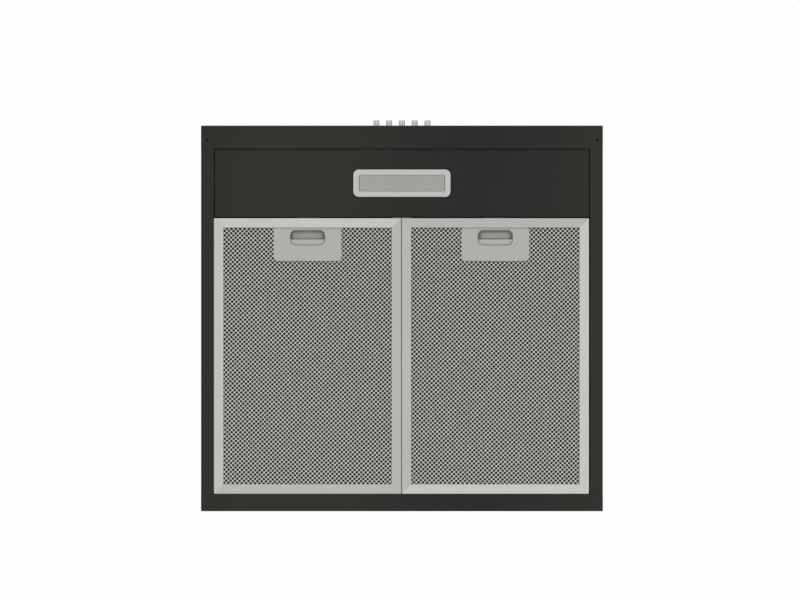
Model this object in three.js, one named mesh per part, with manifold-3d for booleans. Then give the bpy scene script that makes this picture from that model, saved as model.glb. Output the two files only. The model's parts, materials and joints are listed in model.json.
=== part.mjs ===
// An under-cabinet cooker hood, built from its separate pieces.
// Millimetres. X runs to the right, Y from the front to the wall, Z up.
// The origin is the middle of the top panel's outer face, where the hood meets the cabinet above it.
import * as THREE from 'three';
import { mergeVertices } from 'three/addons/utils/BufferGeometryUtils.js';
import Module from 'manifold-3d';

const wasm = await Module();
wasm.setup();

// ---------------------------------------------------------------- driving dimensions

// casing
const WIDTH = 500;
const DEPTH = 480;
const HEIGHT = 140;
const SHEET = 1;
const BEND = 1.6; // outside radius of a fold
const GAP = 0.3; // between two pieces that touch
const FRONT_HEIGHT = 58; // upright part of the front
const SLOPE_RUN = 90; // how far back the slope above it reaches
const FRONT_LIP = 28.8;
const REAR_LIP = 21.4;
const SIDE_LIP = 15.9;
const SEAM_FLANGE = 12; // folded strips that join the panels
const SEAM_CLEARANCE = 1.5; // from the end of one strip to the next
const LIP_RISE = 6; // of the side lips' outer edge up the wall
const LIP_LAP = 4; // of a corner tab behind the front and rear lips
const PLAN_CORNER = 1.2;
const CABINET_SCREW_X = 200;
const CABINET_SCREW_INSET = 45; // from the ends of the flat top
const CABINET_SCREW_HOLE = 3; // radius
const KEYHOLE_X = 150;
const KEYHOLE_HEAD = 4.5;
const KEYHOLE_SLOT = 2.4;
const KEYHOLE_RISE = 10;
const KEYHOLE_DROP = 34; // below the top

// corner screws
const CORNER_SCREW_INSET = 7.5;
const CORNER_SCREW_BACK = 18.2;
const CORNER_SCREW_HEAD = 1.5; // radius
const CORNER_SCREW_HEAD_HEIGHT = 0.7;
const CORNER_SCREW_POINT = 1;
const CORNER_SCREW_SLOT = 0.3; // depth
const CORNER_SCREW_SHANK = 1;
const CORNER_SCREW_LENGTH = 7;

// lamp panel
const PANEL_DEPTH = 84.1;
const PANEL_GAP = 0.8; // shadow gap all round
const PANEL_RECESS = 2;
const PANEL_FLANGE = 12;

// lamp
const BEZEL_LENGTH = 121;
const BEZEL_WIDTH = 34.1;
const BEZEL_CORNER = 6.7;
const BEZEL_THICKNESS = 1.6;
const LAMP_WINDOW_LENGTH = 106.3;
const LAMP_WINDOW_WIDTH = 20.3;
const LAMP_WINDOW_CORNER = 2;
const LAMP_BACK = 71.7; // behind the front face
const LENS_SEAT = 1.6; // how far the lens laps behind the bezel
const LENS_THICKNESS = 2.4;
const LAMP_WALL = 1.2;
const LAMP_COLLAR_HEIGHT = 6;
const LAMP_HOUSING_HEIGHT = 18;
const LAMP_HOUSING_CLEARANCE = 1;
const BOARD_THICKNESS = 1.6;
const CHIP_COUNT = 7;
const CHIP_SIZE = 3.6;
const CHIP_HEIGHT = 0.8;

// push buttons and switches
const BUTTON_COUNT = 5;
const BUTTON_PITCH = 16;
const BUTTON_RADIUS = 3.8;
const BUTTON_PROUD = 8.2;
const BUTTON_HEIGHT = 26; // above the underside
const BUTTON_TRAVEL = 4;
const BUTTON_EDGE = 0.9; // rounding of the pressed end
const BUTTON_CLEARANCE = 0.5;
const BUTTON_SHOULDER = 1.5; // left between a pressed cap and the switch block
const STEM_RADIUS = 2;
const STEM_REACH = 7; // into the switch block when pressed
const SWITCH_STANDOFF = 9; // switch block behind its bracket
const BLOCK_DEPTH = 26;
const BLOCK_HEIGHT = 20;
const BLOCK_END = 10; // past the outer buttons
const BRACKET_END = 6; // past the switch block

// grease filters
const FILTER_SIDE_GAP = 0.9; // on average: the pair sits a little to the left
const FILTER_SHIFT = -0.6;
const FILTER_CENTRE_GAP = 1;
const FILTER_FRONT_GAP = 1.7;
const FILTER_REAR_GAP = 0.5;
const FILTER_RECESS = 0.5;
const FILTER_THICKNESS = 9;
const FILTER_SHEET = 0.7;
const FILTER_BORDER = 11.6;
const MESH_SETBACK = 0.4; // behind the frame's flange
const FACE_MESH = 1;
const PAD_SIDE_CLEARANCE = 0.4;
const TAB_WIDTH = 18;
const TAB_REACH = 7;
const TAB_THICKNESS = 1.2;
const TAB_INSET = 40;
const TAB_CLEARANCE = 0.4;
const RAIL_WIDTH = 24;
const RAIL_FLANGE = 8;
const RAIL_CLEARANCE = 0.4;

// filter handles and latches
const HANDLE_WIDTH = 84.3;
const HANDLE_DEPTH = 41.2;
const HANDLE_THICKNESS = 0.8;
const HANDLE_CORNER = 5;
const HANDLE_START = 12; // behind the filter's front edge
const FINGER_WIDTH = 42.8;
const FINGER_DEPTH = 18.2;
const FINGER_CORNER = 6.4;
const FINGER_START = 3; // behind the handle's front edge
const POCKET_DEPTH = 11.3; // open part of the finger window
const LATCH_THICKNESS = 2;
const LATCH_ARM = 6;
const LATCH_TAIL = 4; // behind the finger window
const LATCH_TRAVEL = 5;
const LATCH_TONGUE_WIDTH = 24;
const LATCH_TONGUE_THICKNESS = 1.6;
const LATCH_TONGUE_STEP = 1.9; // tongue's underside above the latch's
const TONGUE_STOP = 0.4; // short of the catch in the lamp panel
const TONGUE_SIDE_CLEARANCE = 0.5;
const TONGUE_CLEARANCE = 0.4; // above and below
const TRAY_WALL = 1;
const SPRING_LENGTH = 4.2;
const SPRING_CLEARANCE = 0.8;
const SPRING_RADIUS = 1.6;
const SPRING_WIRE = 0.28; // radius
const SPRING_TURNS = 2.5;

// fan
const COLLAR_RADIUS = 60;
const COLLAR_WALL = 2;
const COLLAR_RISE = 30;
const COLLAR_FLANGE = 9;
const COLLAR_BACK = 150; // centre in front of the rear face
const COLLAR_STOP = 2.5; // inward step that the flaps rest on
const FAN_SIDE_CLEARANCE = 10; // between the fan housing and the left side panel
const FAN_OFFSET_Y = -110; // fan centre from the collar's centre
const IMPELLER_RADIUS = 75;
const IMPELLER_CLEARANCE = 9; // at the tongue of the scroll
const SCROLL_GROWTH = 60;
const TONGUE_ANGLE = 60;
const SCROLL_HEIGHT = 70; // inside
const SCROLL_WALL = 1.6;
const OUTLET_MARGIN = 6; // from the collar's bore to the walls of the duct below it
const INLET_RADIUS = 58;
const MOTOR_RADIUS = 42;
const MOTOR_HEIGHT = 42;
const MOTOR_CHAMFER = 5;
const MOTOR_BOSS = 12;
const MOTOR_SCREW_CIRCLE = 30;
const MOTOR_SCREW_RADIUS = 2;
const MOTOR_SCREW_HEAD = 3.6;
const MOTOR_SCREW_HEAD_HEIGHT = 1.6;
const MOTOR_SCREW_DEPTH = 9; // below the lid
const SHAFT_RADIUS = 3;
const SHAFT_CLEARANCE = 0.1;
const SHAFT_DEPTH = 20; // inside the motor
const HUB_DROP = 12; // hub below the motor
const HUB_RADIUS = 8;
const HUB_THICKNESS = 3;
const SHAFT_END = 12; // below the hub's top
const SHAFT_CHAMFER = 0.6;
const NUT_RADIUS = 5;
const NUT_HEIGHT = 5;
const CUP_CLEARANCE = 4;
const IMPELLER_END_CLEARANCE = 4; // above and below the impeller
const IMPELLER_SHEET = 1.6;
const BLADE_COUNT = 28;
const BLADE_CHORD = 13;
const BLADE_THICKNESS = 1.2;
const BLADE_SWEEP = 6; // degrees that a blade leans forward
const RIM_OVERLAP = 2; // rings inside the blades' inner edge
const GUARD_RINGS = [42, 27, 12]; // inner radii
const GUARD_RIM = 10;
const GUARD_WIRE = 2;
const FLAP_THICKNESS = 1.2;
const FLAP_CLEARANCE = 0.6;
const FLAP_START = 4; // from the hinge pin
const PIN_RADIUS = 1;
const KNUCKLE_RADIUS = 2.2;
const KNUCKLE_LENGTH = 14;
const KNUCKLE_SHARE = [-0.7, 0.4]; // places along the rear flap, as shares of the bore's radius
const PIN_END = 0.7; // of the pin in the collar's wall

// electrics
const TERMINAL_BOX = [80, 50, 30];
const TERMINAL_X = 150;
const TERMINAL_BACK = 40; // behind the slope
const TERMINAL_WALL = 2;
const TERMINAL_STRIP = [48, 16];
const TERMINAL_STRIP_BACK = 8; // above the open side of the box
const COVER_OVERHANG = 1;
const COVER_CORNER = 3;
const COVER_THICKNESS = 2;
const CAPACITOR_RADIUS = 16;
const CAPACITOR_LENGTH = 58;
const CAPACITOR_BACK = 20; // behind the terminal box
const CAPACITOR_CAP = 4;
const CAPACITOR_LIFT = 4; // below the top panel
const CAPACITOR_FOOT = 16;
const CONNECTOR = [14, 24, 14];
const CONNECTOR_DROP = 20; // below the housing's top
const SWITCH_LEAD_RADIUS = 3;
const MOTOR_LEAD_RADIUS = 2.5;
const LAMP_LEAD_RADIUS = 2;
const LEAD_DROP = 18; // where the leads enter the terminal box
const LEAD_STRAIGHT = 10;
const GROMMET_HOLE = 9;
const GROMMET_BORE = 4;
const GROMMET_RIM = 3;
const GROMMET_BACK = 60; // in front of the rear face

// ---------------------------------------------------------------- places worked out from them

const FRONT_Y = -DEPTH / 2;
const REAR_Y = DEPTH / 2;
const SIDE_X = WIDTH / 2;
const BASE_Z = -HEIGHT;
const LIP_TOP_Z = BASE_Z + SHEET;
const OPEN_X = SIDE_X - SIDE_LIP;
const OPEN_FRONT_Y = FRONT_Y + FRONT_LIP;
const OPEN_REAR_Y = REAR_Y - REAR_LIP;
const SLOPE_FOOT_Z = BASE_Z + FRONT_HEIGHT;
const FLAT_Y = FRONT_Y + SLOPE_RUN;
const SKIN = SHEET + GAP;

const PANEL_FRONT_Y = OPEN_FRONT_Y + PANEL_GAP;
const PANEL_REAR_Y = PANEL_FRONT_Y + PANEL_DEPTH;
const PANEL_Z = BASE_Z + PANEL_RECESS;
const LAMP_Y = FRONT_Y + LAMP_BACK;

const FILTER_WIDTH = OPEN_X - FILTER_SIDE_GAP - FILTER_CENTRE_GAP / 2;
const FILTER_X = FILTER_CENTRE_GAP / 2 + FILTER_WIDTH / 2;
const FILTER_FRONT_Y = PANEL_REAR_Y + FILTER_FRONT_GAP;
const FILTER_LENGTH = OPEN_REAR_Y - FILTER_REAR_GAP - FILTER_FRONT_Y;
const FILTER_Z = BASE_Z + FILTER_RECESS;
const FILTER_TOP_Z = FILTER_Z + FILTER_THICKNESS;

const COLLAR_Y = REAR_Y - COLLAR_BACK;
const FLANGE_TOP_Z = -SKIN;
const FLANGE_Z = FLANGE_TOP_Z - COLLAR_WALL;
const LID_TOP_Z = FLANGE_Z - GAP;
const LID_Z = LID_TOP_Z - SCROLL_WALL;
const HOUSING_TOP_Z = LID_Z - GAP;
const FLOOR_TOP_Z = HOUSING_TOP_Z - SCROLL_HEIGHT;
const FLOOR_Z = FLOOR_TOP_Z - SCROLL_WALL;
const OUTLET_HALF = COLLAR_RADIUS - COLLAR_WALL + OUTLET_MARGIN;
const SCROLL_SWEEP = 270 + TONGUE_ANGLE;
const SCROLL_REACH = scrollRadius(180) + SCROLL_WALL;
const FAN_X = -SIDE_X + SHEET + FAN_SIDE_CLEARANCE + SCROLL_REACH;
const FAN_Y = COLLAR_Y + FAN_OFFSET_Y;
const PIN_Z = FLANGE_Z + COLLAR_WALL + KNUCKLE_RADIUS;

const BUTTON_Z = BASE_Z + BUTTON_HEIGHT;
const BLOCK_Y = FRONT_Y + SKIN + SHEET + SWITCH_STANDOFF;
const BLOCK_HALF = ((BUTTON_COUNT - 1) / 2) * BUTTON_PITCH + BLOCK_END;

// ---------------------------------------------------------------- finishes

const PAINT = { color: 0x343530, roughness: 0.45, metalness: 0.2 };
const GALVANISED = { color: 0x9a9c9c, roughness: 0.45, metalness: 0.8 };
const ALUMINIUM = { color: 0xc4c3bf, roughness: 0.35, metalness: 0.9 };
const EXPANDED_METAL = { color: 0x8f8e8a, roughness: 0.5, metalness: 0.9 };
const GREY_PLASTIC = { color: 0xb3b2ae, roughness: 0.5, metalness: 0 };
const SILVER_PLASTIC = { color: 0xc2c2c0, roughness: 0.3, metalness: 0.5 };
const BLACK_PLASTIC = { color: 0x222222, roughness: 0.6, metalness: 0 };
const WHITE_PLASTIC = { color: 0xe4e4e0, roughness: 0.5, metalness: 0 };
const FROSTED = { color: 0xd8d8d4, roughness: 0.6, metalness: 0 };
const STEEL = { color: 0x8d8f92, roughness: 0.3, metalness: 1 };
const BLACK_STEEL = { color: 0x151515, roughness: 0.4, metalness: 0.6 };
const BOARD = { color: 0xe8e8e0, roughness: 0.5, metalness: 0 };
const LEAD = { color: 0x303030, roughness: 0.7, metalness: 0 };

// ---------------------------------------------------------------- shape helpers

function solid(geometry) {
  const bare = geometry.index ? geometry.toNonIndexed() : geometry.clone();
  bare.deleteAttribute('normal');
  bare.deleteAttribute('uv');
  const merged = mergeVertices(bare, 1e-4);
  const mesh = new wasm.Mesh({
    numProp: 3,
    vertProperties: merged.attributes.position.array,
    triVerts: new Uint32Array(merged.index.array),
  });
  return new wasm.Manifold(mesh);
}

function geometryOf(manifold) {
  const mesh = manifold.getMesh();
  const geometry = new THREE.BufferGeometry();
  geometry.setAttribute('position', new THREE.BufferAttribute(mesh.vertProperties, 3));
  geometry.setIndex(new THREE.BufferAttribute(mesh.triVerts, 1));
  const faceted = geometry.toNonIndexed();
  faceted.computeVertexNormals();
  return faceted;
}

function piece(name, shape, finish) {
  const geometry = shape.isBufferGeometry ? shape : geometryOf(shape);
  const mesh = new THREE.Mesh(geometry, new THREE.MeshStandardMaterial(finish));
  mesh.name = name;
  return mesh;
}

function union(solids) {
  return solids.reduce((sum, next) => sum.add(next));
}

// A block between two corners.
function block(low, high) {
  const size = high.map((value, i) => value - low[i]);
  const geometry = new THREE.BoxGeometry(...size);
  geometry.translate(...low.map((value, i) => value + size[i] / 2));
  return solid(geometry);
}

function toShape(points) {
  return new THREE.Shape(points.map(([a, b]) => new THREE.Vector2(a, b)));
}

// A plan outline raised from one height to another.
function slab(shape, z0, z1) {
  const geometry = new THREE.ExtrudeGeometry(shape, {
    depth: z1 - z0,
    bevelEnabled: false,
    curveSegments: 4,
  });
  geometry.translate(0, 0, z0);
  return solid(geometry);
}

// An outline in (y, z) drawn out along X.
function alongX(shape, x0, x1) {
  const geometry = new THREE.ExtrudeGeometry(shape, {
    depth: x1 - x0,
    bevelEnabled: false,
    curveSegments: 4,
  });
  geometry.applyMatrix4(new THREE.Matrix4().makeBasis(
    new THREE.Vector3(0, 1, 0),
    new THREE.Vector3(0, 0, 1),
    new THREE.Vector3(1, 0, 0),
  ));
  geometry.translate(x0, 0, 0);
  return solid(geometry);
}

// An outline in (x, z) drawn out along Y.
function alongY(shape, y0, y1) {
  const geometry = new THREE.ExtrudeGeometry(shape, {
    depth: y1 - y0,
    bevelEnabled: false,
    curveSegments: 4,
  });
  geometry.applyMatrix4(new THREE.Matrix4().makeBasis(
    new THREE.Vector3(1, 0, 0),
    new THREE.Vector3(0, 0, 1),
    new THREE.Vector3(0, -1, 0),
  ));
  geometry.translate(0, y1, 0);
  return solid(geometry);
}

function roundedRectangle(x0, y0, x1, y1, radius) {
  const shape = new THREE.Shape();
  shape.moveTo(x0 + radius, y0);
  shape.lineTo(x1 - radius, y0);
  shape.absarc(x1 - radius, y0 + radius, radius, -Math.PI / 2, 0);
  shape.lineTo(x1, y1 - radius);
  shape.absarc(x1 - radius, y1 - radius, radius, 0, Math.PI / 2);
  shape.lineTo(x0 + radius, y1);
  shape.absarc(x0 + radius, y1 - radius, radius, Math.PI / 2, Math.PI);
  shape.lineTo(x0, y0 + radius);
  shape.absarc(x0 + radius, y0 + radius, radius, Math.PI, 1.5 * Math.PI);
  return shape;
}

// A turned piece about a vertical axis at (x, y); the profile lists [radius, z].
function turned(profile, segments, x = 0, y = 0) {
  const points = profile.map(([r, z]) => new THREE.Vector2(r, z));
  const geometry = new THREE.LatheGeometry(points, segments);
  geometry.rotateX(Math.PI / 2);
  geometry.translate(x, y, 0);
  const made = solid(geometry);
  if (made.volume() > 0) return made;
  const reversed = new THREE.LatheGeometry(points.reverse(), segments);
  reversed.rotateX(Math.PI / 2);
  reversed.translate(x, y, 0);
  return solid(reversed);
}

// A ring with a rectangular section.
function ring(inner, outer, z0, z1, segments, x = 0, y = 0) {
  return turned([[inner, z0], [outer, z0], [outer, z1], [inner, z1], [inner, z0]], segments, x, y);
}

function rod(radius, z0, z1, segments, x = 0, y = 0) {
  const geometry = new THREE.CylinderGeometry(radius, radius, z1 - z0, segments);
  geometry.rotateX(Math.PI / 2);
  geometry.translate(x, y, (z0 + z1) / 2);
  return solid(geometry);
}

function rodAlongX(radius, x0, x1, y, z, segments) {
  const geometry = new THREE.CylinderGeometry(radius, radius, x1 - x0, segments);
  geometry.rotateZ(Math.PI / 2);
  geometry.translate((x0 + x1) / 2, y, z);
  return solid(geometry);
}

function rodAlongY(radius, y0, y1, x, z, segments) {
  const geometry = new THREE.CylinderGeometry(radius, radius, y1 - y0, segments);
  geometry.translate(x, (y0 + y1) / 2, z);
  return solid(geometry);
}

// The closed outline of a folded sheet. The points are its outer surface, and the
// sheet's thickness lies on the side given: 1 to the left of the way they run, -1 to the right.
function foldedSheet(points, side) {
  const outer = [];
  const inner = [];
  const bendSteps = 4;
  points.forEach(([a, b], i) => {
    const here = new THREE.Vector2(a, b);
    const before = i > 0 ? here.clone().sub(new THREE.Vector2(...points[i - 1])).normalize() : null;
    const last = i === points.length - 1;
    const after = last ? null : new THREE.Vector2(...points[i + 1]).sub(here).normalize();
    const normal = (way) => new THREE.Vector2(-way.y, way.x).multiplyScalar(side);
    if (!before || !after) {
      const n = normal(before || after);
      outer.push(here);
      inner.push(here.clone().addScaledVector(n, SHEET));
      return;
    }
    const half = before.clone().sub(after).normalize().negate();
    const cosHalf = Math.abs(half.dot(normal(before)));
    const centre = here.clone().addScaledVector(half, BEND / cosHalf);
    const from = normal(before).negate();
    const turn = Math.atan2(before.cross(after), before.dot(after));
    for (let step = 0; step <= bendSteps; step += 1) {
      const way = from.clone().rotateAround(new THREE.Vector2(), (turn * step) / bendSteps);
      outer.push(centre.clone().addScaledVector(way, BEND));
      inner.push(centre.clone().addScaledVector(way, BEND - SHEET));
    }
  });
  return new THREE.Shape([...outer, ...inner.reverse()]);
}

// Moves each side of a closed outline, listed anticlockwise, outwards.
function grown(points, distance) {
  const count = points.length;
  return points.map((point, i) => {
    const here = new THREE.Vector2(...point);
    const back = here.clone().sub(new THREE.Vector2(...points[(i + count - 1) % count])).normalize();
    const on = new THREE.Vector2(...points[(i + 1) % count]).sub(here).normalize();
    const first = new THREE.Vector2(back.y, -back.x);
    const second = new THREE.Vector2(on.y, -on.x);
    const mitre = first.clone().add(second).normalize();
    here.addScaledVector(mitre, distance / mitre.dot(first));
    return [here.x, here.y];
  });
}

// A round lead that follows a list of points.
function lead(points, radius, steps) {
  const path = new THREE.CatmullRomCurve3(points.map((p) => new THREE.Vector3(...p)));
  const section = new THREE.Shape();
  section.absarc(0, 0, radius, 0, 2 * Math.PI);
  const geometry = new THREE.ExtrudeGeometry(section, {
    steps,
    bevelEnabled: false,
    curveSegments: 2,
    extrudePath: path,
  });
  return solid(geometry);
}

// ---------------------------------------------------------------- casing

const planOutline = slab(
  roundedRectangle(-SIDE_X, FRONT_Y, SIDE_X, REAR_Y, PLAN_CORNER),
  BASE_Z - 1,
  1,
);

// A point of the slope's or the flat top's outer line, moved inwards by a distance.
function underRoof(inset) {
  const angle = Math.atan2(-SLOPE_FOOT_Z, SLOPE_RUN);
  const shift = inset * Math.tan(angle / 2);
  return {
    foot: [FRONT_Y, SLOPE_FOOT_Z - inset / Math.cos(angle)],
    ridge: [FLAT_Y + shift, -inset],
    angle,
  };
}

// What is cut from the ends of a seam strip, so that it stops short of the side panels.
function seamEnds(low, high) {
  return [-1, 1].map((side) => {
    const ends = [side * (SIDE_X - SKIN), side * (SIDE_X + 1)].sort((a, b) => a - b);
    return block([ends[0], ...low], [ends[1], ...high]);
  });
}

function frontPanel() {
  const { foot, angle } = underRoof(SKIN);
  const strip = [
    foot[0] + SEAM_FLANGE * Math.cos(angle),
    foot[1] + SEAM_FLANGE * Math.sin(angle),
  ];
  const sheet = foldedSheet([[OPEN_FRONT_Y, BASE_Z], [FRONT_Y, BASE_Z], foot, strip], -1);
  const returns = [-1, 1].map((side) => {
    const outer = side * (SIDE_X - SKIN);
    const inner = side * (SIDE_X - SKIN - SHEET);
    return block(
      [Math.min(outer, inner), FRONT_Y + SHEET / 2, BASE_Z + SHEET / 2],
      [Math.max(outer, inner), FRONT_Y + SEAM_FLANGE, foot[1] - BEND],
    );
  });
  const holes = buttonPlaces().map((x) => rodAlongY(
    BUTTON_RADIUS + BUTTON_CLEARANCE,
    FRONT_Y - 1,
    FRONT_Y + SHEET + 1,
    x,
    BUTTON_Z,
    24,
  ));
  [-1, 1].forEach((side) => holes.push(rod(
    CORNER_SCREW_HEAD + GAP,
    BASE_Z - 1,
    LIP_TOP_Z + GAP / 2,
    16,
    side * (SIDE_X - CORNER_SCREW_INSET),
    FRONT_Y + CORNER_SCREW_BACK,
  )));
  const low = [FRONT_Y + SHEET, foot[1] - BEND];
  holes.push(...seamEnds(low, [strip[0] + 1, strip[1] + 1]));
  const panel = union([alongX(sheet, -SIDE_X, SIDE_X), ...returns]);
  return panel.intersect(planOutline).subtract(union(holes));
}

function topPanel() {
  const sheet = foldedSheet([[FRONT_Y, SLOPE_FOOT_Z], [FLAT_Y, 0], [REAR_Y, 0]], -1);
  const holes = [rod(COLLAR_RADIUS + GAP, -5, 5, 48, 0, COLLAR_Y)];
  holes.push(rod(GROMMET_HOLE, -5, 5, 20, TERMINAL_X, REAR_Y - GROMMET_BACK));
  [-1, 1].forEach((side) => {
    [FLAT_Y + CABINET_SCREW_INSET, REAR_Y - CABINET_SCREW_INSET].forEach((y) => {
      holes.push(rod(CABINET_SCREW_HOLE, -5, 5, 16, side * CABINET_SCREW_X, y));
    });
  });
  return alongX(sheet, -SIDE_X, SIDE_X).intersect(planOutline).subtract(union(holes));
}

function rearPanel() {
  const top = -SKIN;
  const sheet = foldedSheet([
    [OPEN_REAR_Y, BASE_Z],
    [REAR_Y, BASE_Z],
    [REAR_Y, top],
    [REAR_Y - SEAM_FLANGE, top],
  ], 1);
  const holes = [-1, 1].flatMap((side) => {
    const x = side * KEYHOLE_X;
    const slotTop = -KEYHOLE_DROP + KEYHOLE_RISE;
    return [
      rodAlongY(KEYHOLE_HEAD, REAR_Y - SHEET - 1, REAR_Y + 1, x, -KEYHOLE_DROP, 20),
      rodAlongY(KEYHOLE_SLOT, REAR_Y - SHEET - 1, REAR_Y + 1, x, slotTop, 16),
      block(
        [x - KEYHOLE_SLOT, REAR_Y - SHEET - 1, -KEYHOLE_DROP],
        [x + KEYHOLE_SLOT, REAR_Y + 1, slotTop],
      ),
    ];
  });
  holes.push(...seamEnds(
    [REAR_Y - SEAM_FLANGE - 1, top - BEND],
    [REAR_Y - SHEET, top + 1],
  ));
  return alongX(sheet, -SIDE_X, SIDE_X).intersect(planOutline).subtract(union(holes));
}

function sidePanel(side) {
  const { foot, ridge } = underRoof(SKIN);
  const frontEdge = FRONT_Y + SKIN;
  const rearEdge = REAR_Y - SKIN;
  const slope = (ridge[1] - foot[1]) / (ridge[0] - foot[0]);
  const walls = [side * (SIDE_X - SHEET), side * SIDE_X].sort((a, b) => a - b);
  const wall = alongX(toShape([
    [frontEdge, BASE_Z + SKIN],
    [rearEdge, BASE_Z + SKIN],
    [rearEdge, ridge[1]],
    [ridge[0], ridge[1]],
    [frontEdge, foot[1] + slope * SKIN],
  ]), ...walls);
  const lip = alongY(foldedSheet([
    [side * OPEN_X, BASE_Z],
    [side * SIDE_X, BASE_Z],
    [side * SIDE_X, BASE_Z + LIP_RISE],
  ], side), OPEN_FRONT_Y + GAP, OPEN_REAR_Y - GAP);
  const strip = (reach, y0, y1, z) => {
    const ends = [side * (SIDE_X - reach), side * SIDE_X].sort((a, b) => a - b);
    return block([ends[0], y0, z], [ends[1], y1, z + SHEET]);
  };
  const tabs = [
    strip(SIDE_LIP, FRONT_Y + SEAM_FLANGE + SEAM_CLEARANCE, OPEN_FRONT_Y + LIP_LAP, BASE_Z + SKIN),
    strip(SIDE_LIP, OPEN_REAR_Y - LIP_LAP, rearEdge - SHEET, BASE_Z + SKIN),
    strip(SEAM_FLANGE, ridge[0] + 2 * SEAM_CLEARANCE, rearEdge - SEAM_FLANGE, ridge[1] - SHEET),
  ];
  const screwHole = rod(
    CORNER_SCREW_SHANK + GAP,
    BASE_Z,
    BASE_Z + 5,
    16,
    side * (SIDE_X - CORNER_SCREW_INSET),
    FRONT_Y + CORNER_SCREW_BACK,
  );
  return union([wall, lip, ...tabs]).subtract(screwHole);
}

function cornerScrew(side) {
  const x = side * (SIDE_X - CORNER_SCREW_INSET);
  const y = FRONT_Y + CORNER_SCREW_BACK;
  const head = BASE_Z + GAP;
  const body = turned([
    [0, head],
    [CORNER_SCREW_HEAD, head],
    [CORNER_SCREW_SHANK, head + CORNER_SCREW_HEAD_HEIGHT],
    [CORNER_SCREW_SHANK, head + CORNER_SCREW_LENGTH - CORNER_SCREW_POINT],
    [0, head + CORNER_SCREW_LENGTH],
  ], 16, x, y);
  const slots = [[0.2, 1], [1, 0.2]].map(([a, b]) => block(
    [x - a, y - b, head - GAP],
    [x + a, y + b, head + CORNER_SCREW_SLOT],
  ));
  return body.subtract(union(slots));
}

// ---------------------------------------------------------------- lamp panel and lamp

function lampPanel() {
  const x = OPEN_X - PANEL_GAP;
  const top = PANEL_Z + PANEL_FLANGE;
  const body = block([-x, PANEL_FRONT_Y, PANEL_Z], [x, PANEL_REAR_Y, top]);
  const inside = block(
    [-x + SHEET, PANEL_FRONT_Y + SHEET, PANEL_Z + SHEET],
    [x - SHEET, PANEL_REAR_Y - SHEET, top + 1],
  );
  const collar = lampCollarSize();
  const window = slab(roundedRectangle(
    -collar.x - GAP,
    LAMP_Y - collar.y - GAP,
    collar.x + GAP,
    LAMP_Y + collar.y + GAP,
    LAMP_WINDOW_CORNER + LAMP_WALL,
  ), PANEL_Z - 1, PANEL_Z + SHEET + 1);
  const tongueTop = latchHeights().tongueTop;
  const catchHalf = LATCH_TONGUE_WIDTH / 2 + 2 * TONGUE_SIDE_CLEARANCE;
  const catches = [-1, 1].map((side) => block(
    [filterMiddle(side) - catchHalf, PANEL_REAR_Y - SHEET - 1, PANEL_Z + SHEET],
    [filterMiddle(side) + catchHalf, PANEL_REAR_Y + 1, tongueTop + TONGUE_CLEARANCE],
  ));
  return body.subtract(union([inside, window, ...catches]));
}

// Half sizes of the bezel's collar, which holds the lens and passes through the lamp panel.
function lampCollarSize() {
  return {
    x: LAMP_WINDOW_LENGTH / 2 + LENS_SEAT + GAP + LAMP_WALL,
    y: LAMP_WINDOW_WIDTH / 2 + LENS_SEAT + GAP + LAMP_WALL,
  };
}

function centredRectangle(halfX, halfY, radius) {
  return roundedRectangle(-halfX, LAMP_Y - halfY, halfX, LAMP_Y + halfY, radius);
}

function lampBezel() {
  const face = PANEL_Z - GAP - BEZEL_THICKNESS;
  const back = PANEL_Z - GAP;
  const collar = lampCollarSize();
  const flange = slab(centredRectangle(BEZEL_LENGTH / 2, BEZEL_WIDTH / 2, BEZEL_CORNER), face, back);
  const tube = slab(
    centredRectangle(collar.x, collar.y, LAMP_WINDOW_CORNER + LAMP_WALL),
    face + BEZEL_THICKNESS / 2,
    back + LAMP_COLLAR_HEIGHT,
  );
  const seat = slab(centredRectangle(
    collar.x - LAMP_WALL,
    collar.y - LAMP_WALL,
    LAMP_WINDOW_CORNER,
  ), back, back + LAMP_COLLAR_HEIGHT + 1);
  const window = slab(centredRectangle(
    LAMP_WINDOW_LENGTH / 2,
    LAMP_WINDOW_WIDTH / 2,
    LAMP_WINDOW_CORNER,
  ), face - 1, back + 1);
  return flange.add(tube).subtract(seat).subtract(window);
}

function lampLens() {
  const z = PANEL_Z;
  return slab(centredRectangle(
    LAMP_WINDOW_LENGTH / 2 + LENS_SEAT,
    LAMP_WINDOW_WIDTH / 2 + LENS_SEAT,
    LAMP_WINDOW_CORNER - GAP,
  ), z, z + LENS_THICKNESS);
}

function lampHousing() {
  const collar = lampCollarSize();
  const z = PANEL_Z + SKIN;
  const inner = [collar.x + LAMP_HOUSING_CLEARANCE, collar.y + LAMP_HOUSING_CLEARANCE];
  const outer = inner.map((value) => value + LAMP_WALL);
  const shell = slab(centredRectangle(...outer, LAMP_WINDOW_CORNER), z, z + LAMP_HOUSING_HEIGHT);
  const room = slab(
    centredRectangle(...inner, LAMP_WINDOW_CORNER / 2),
    z - 1,
    z + LAMP_HOUSING_HEIGHT - LAMP_WALL,
  );
  return shell.subtract(room);
}

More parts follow.
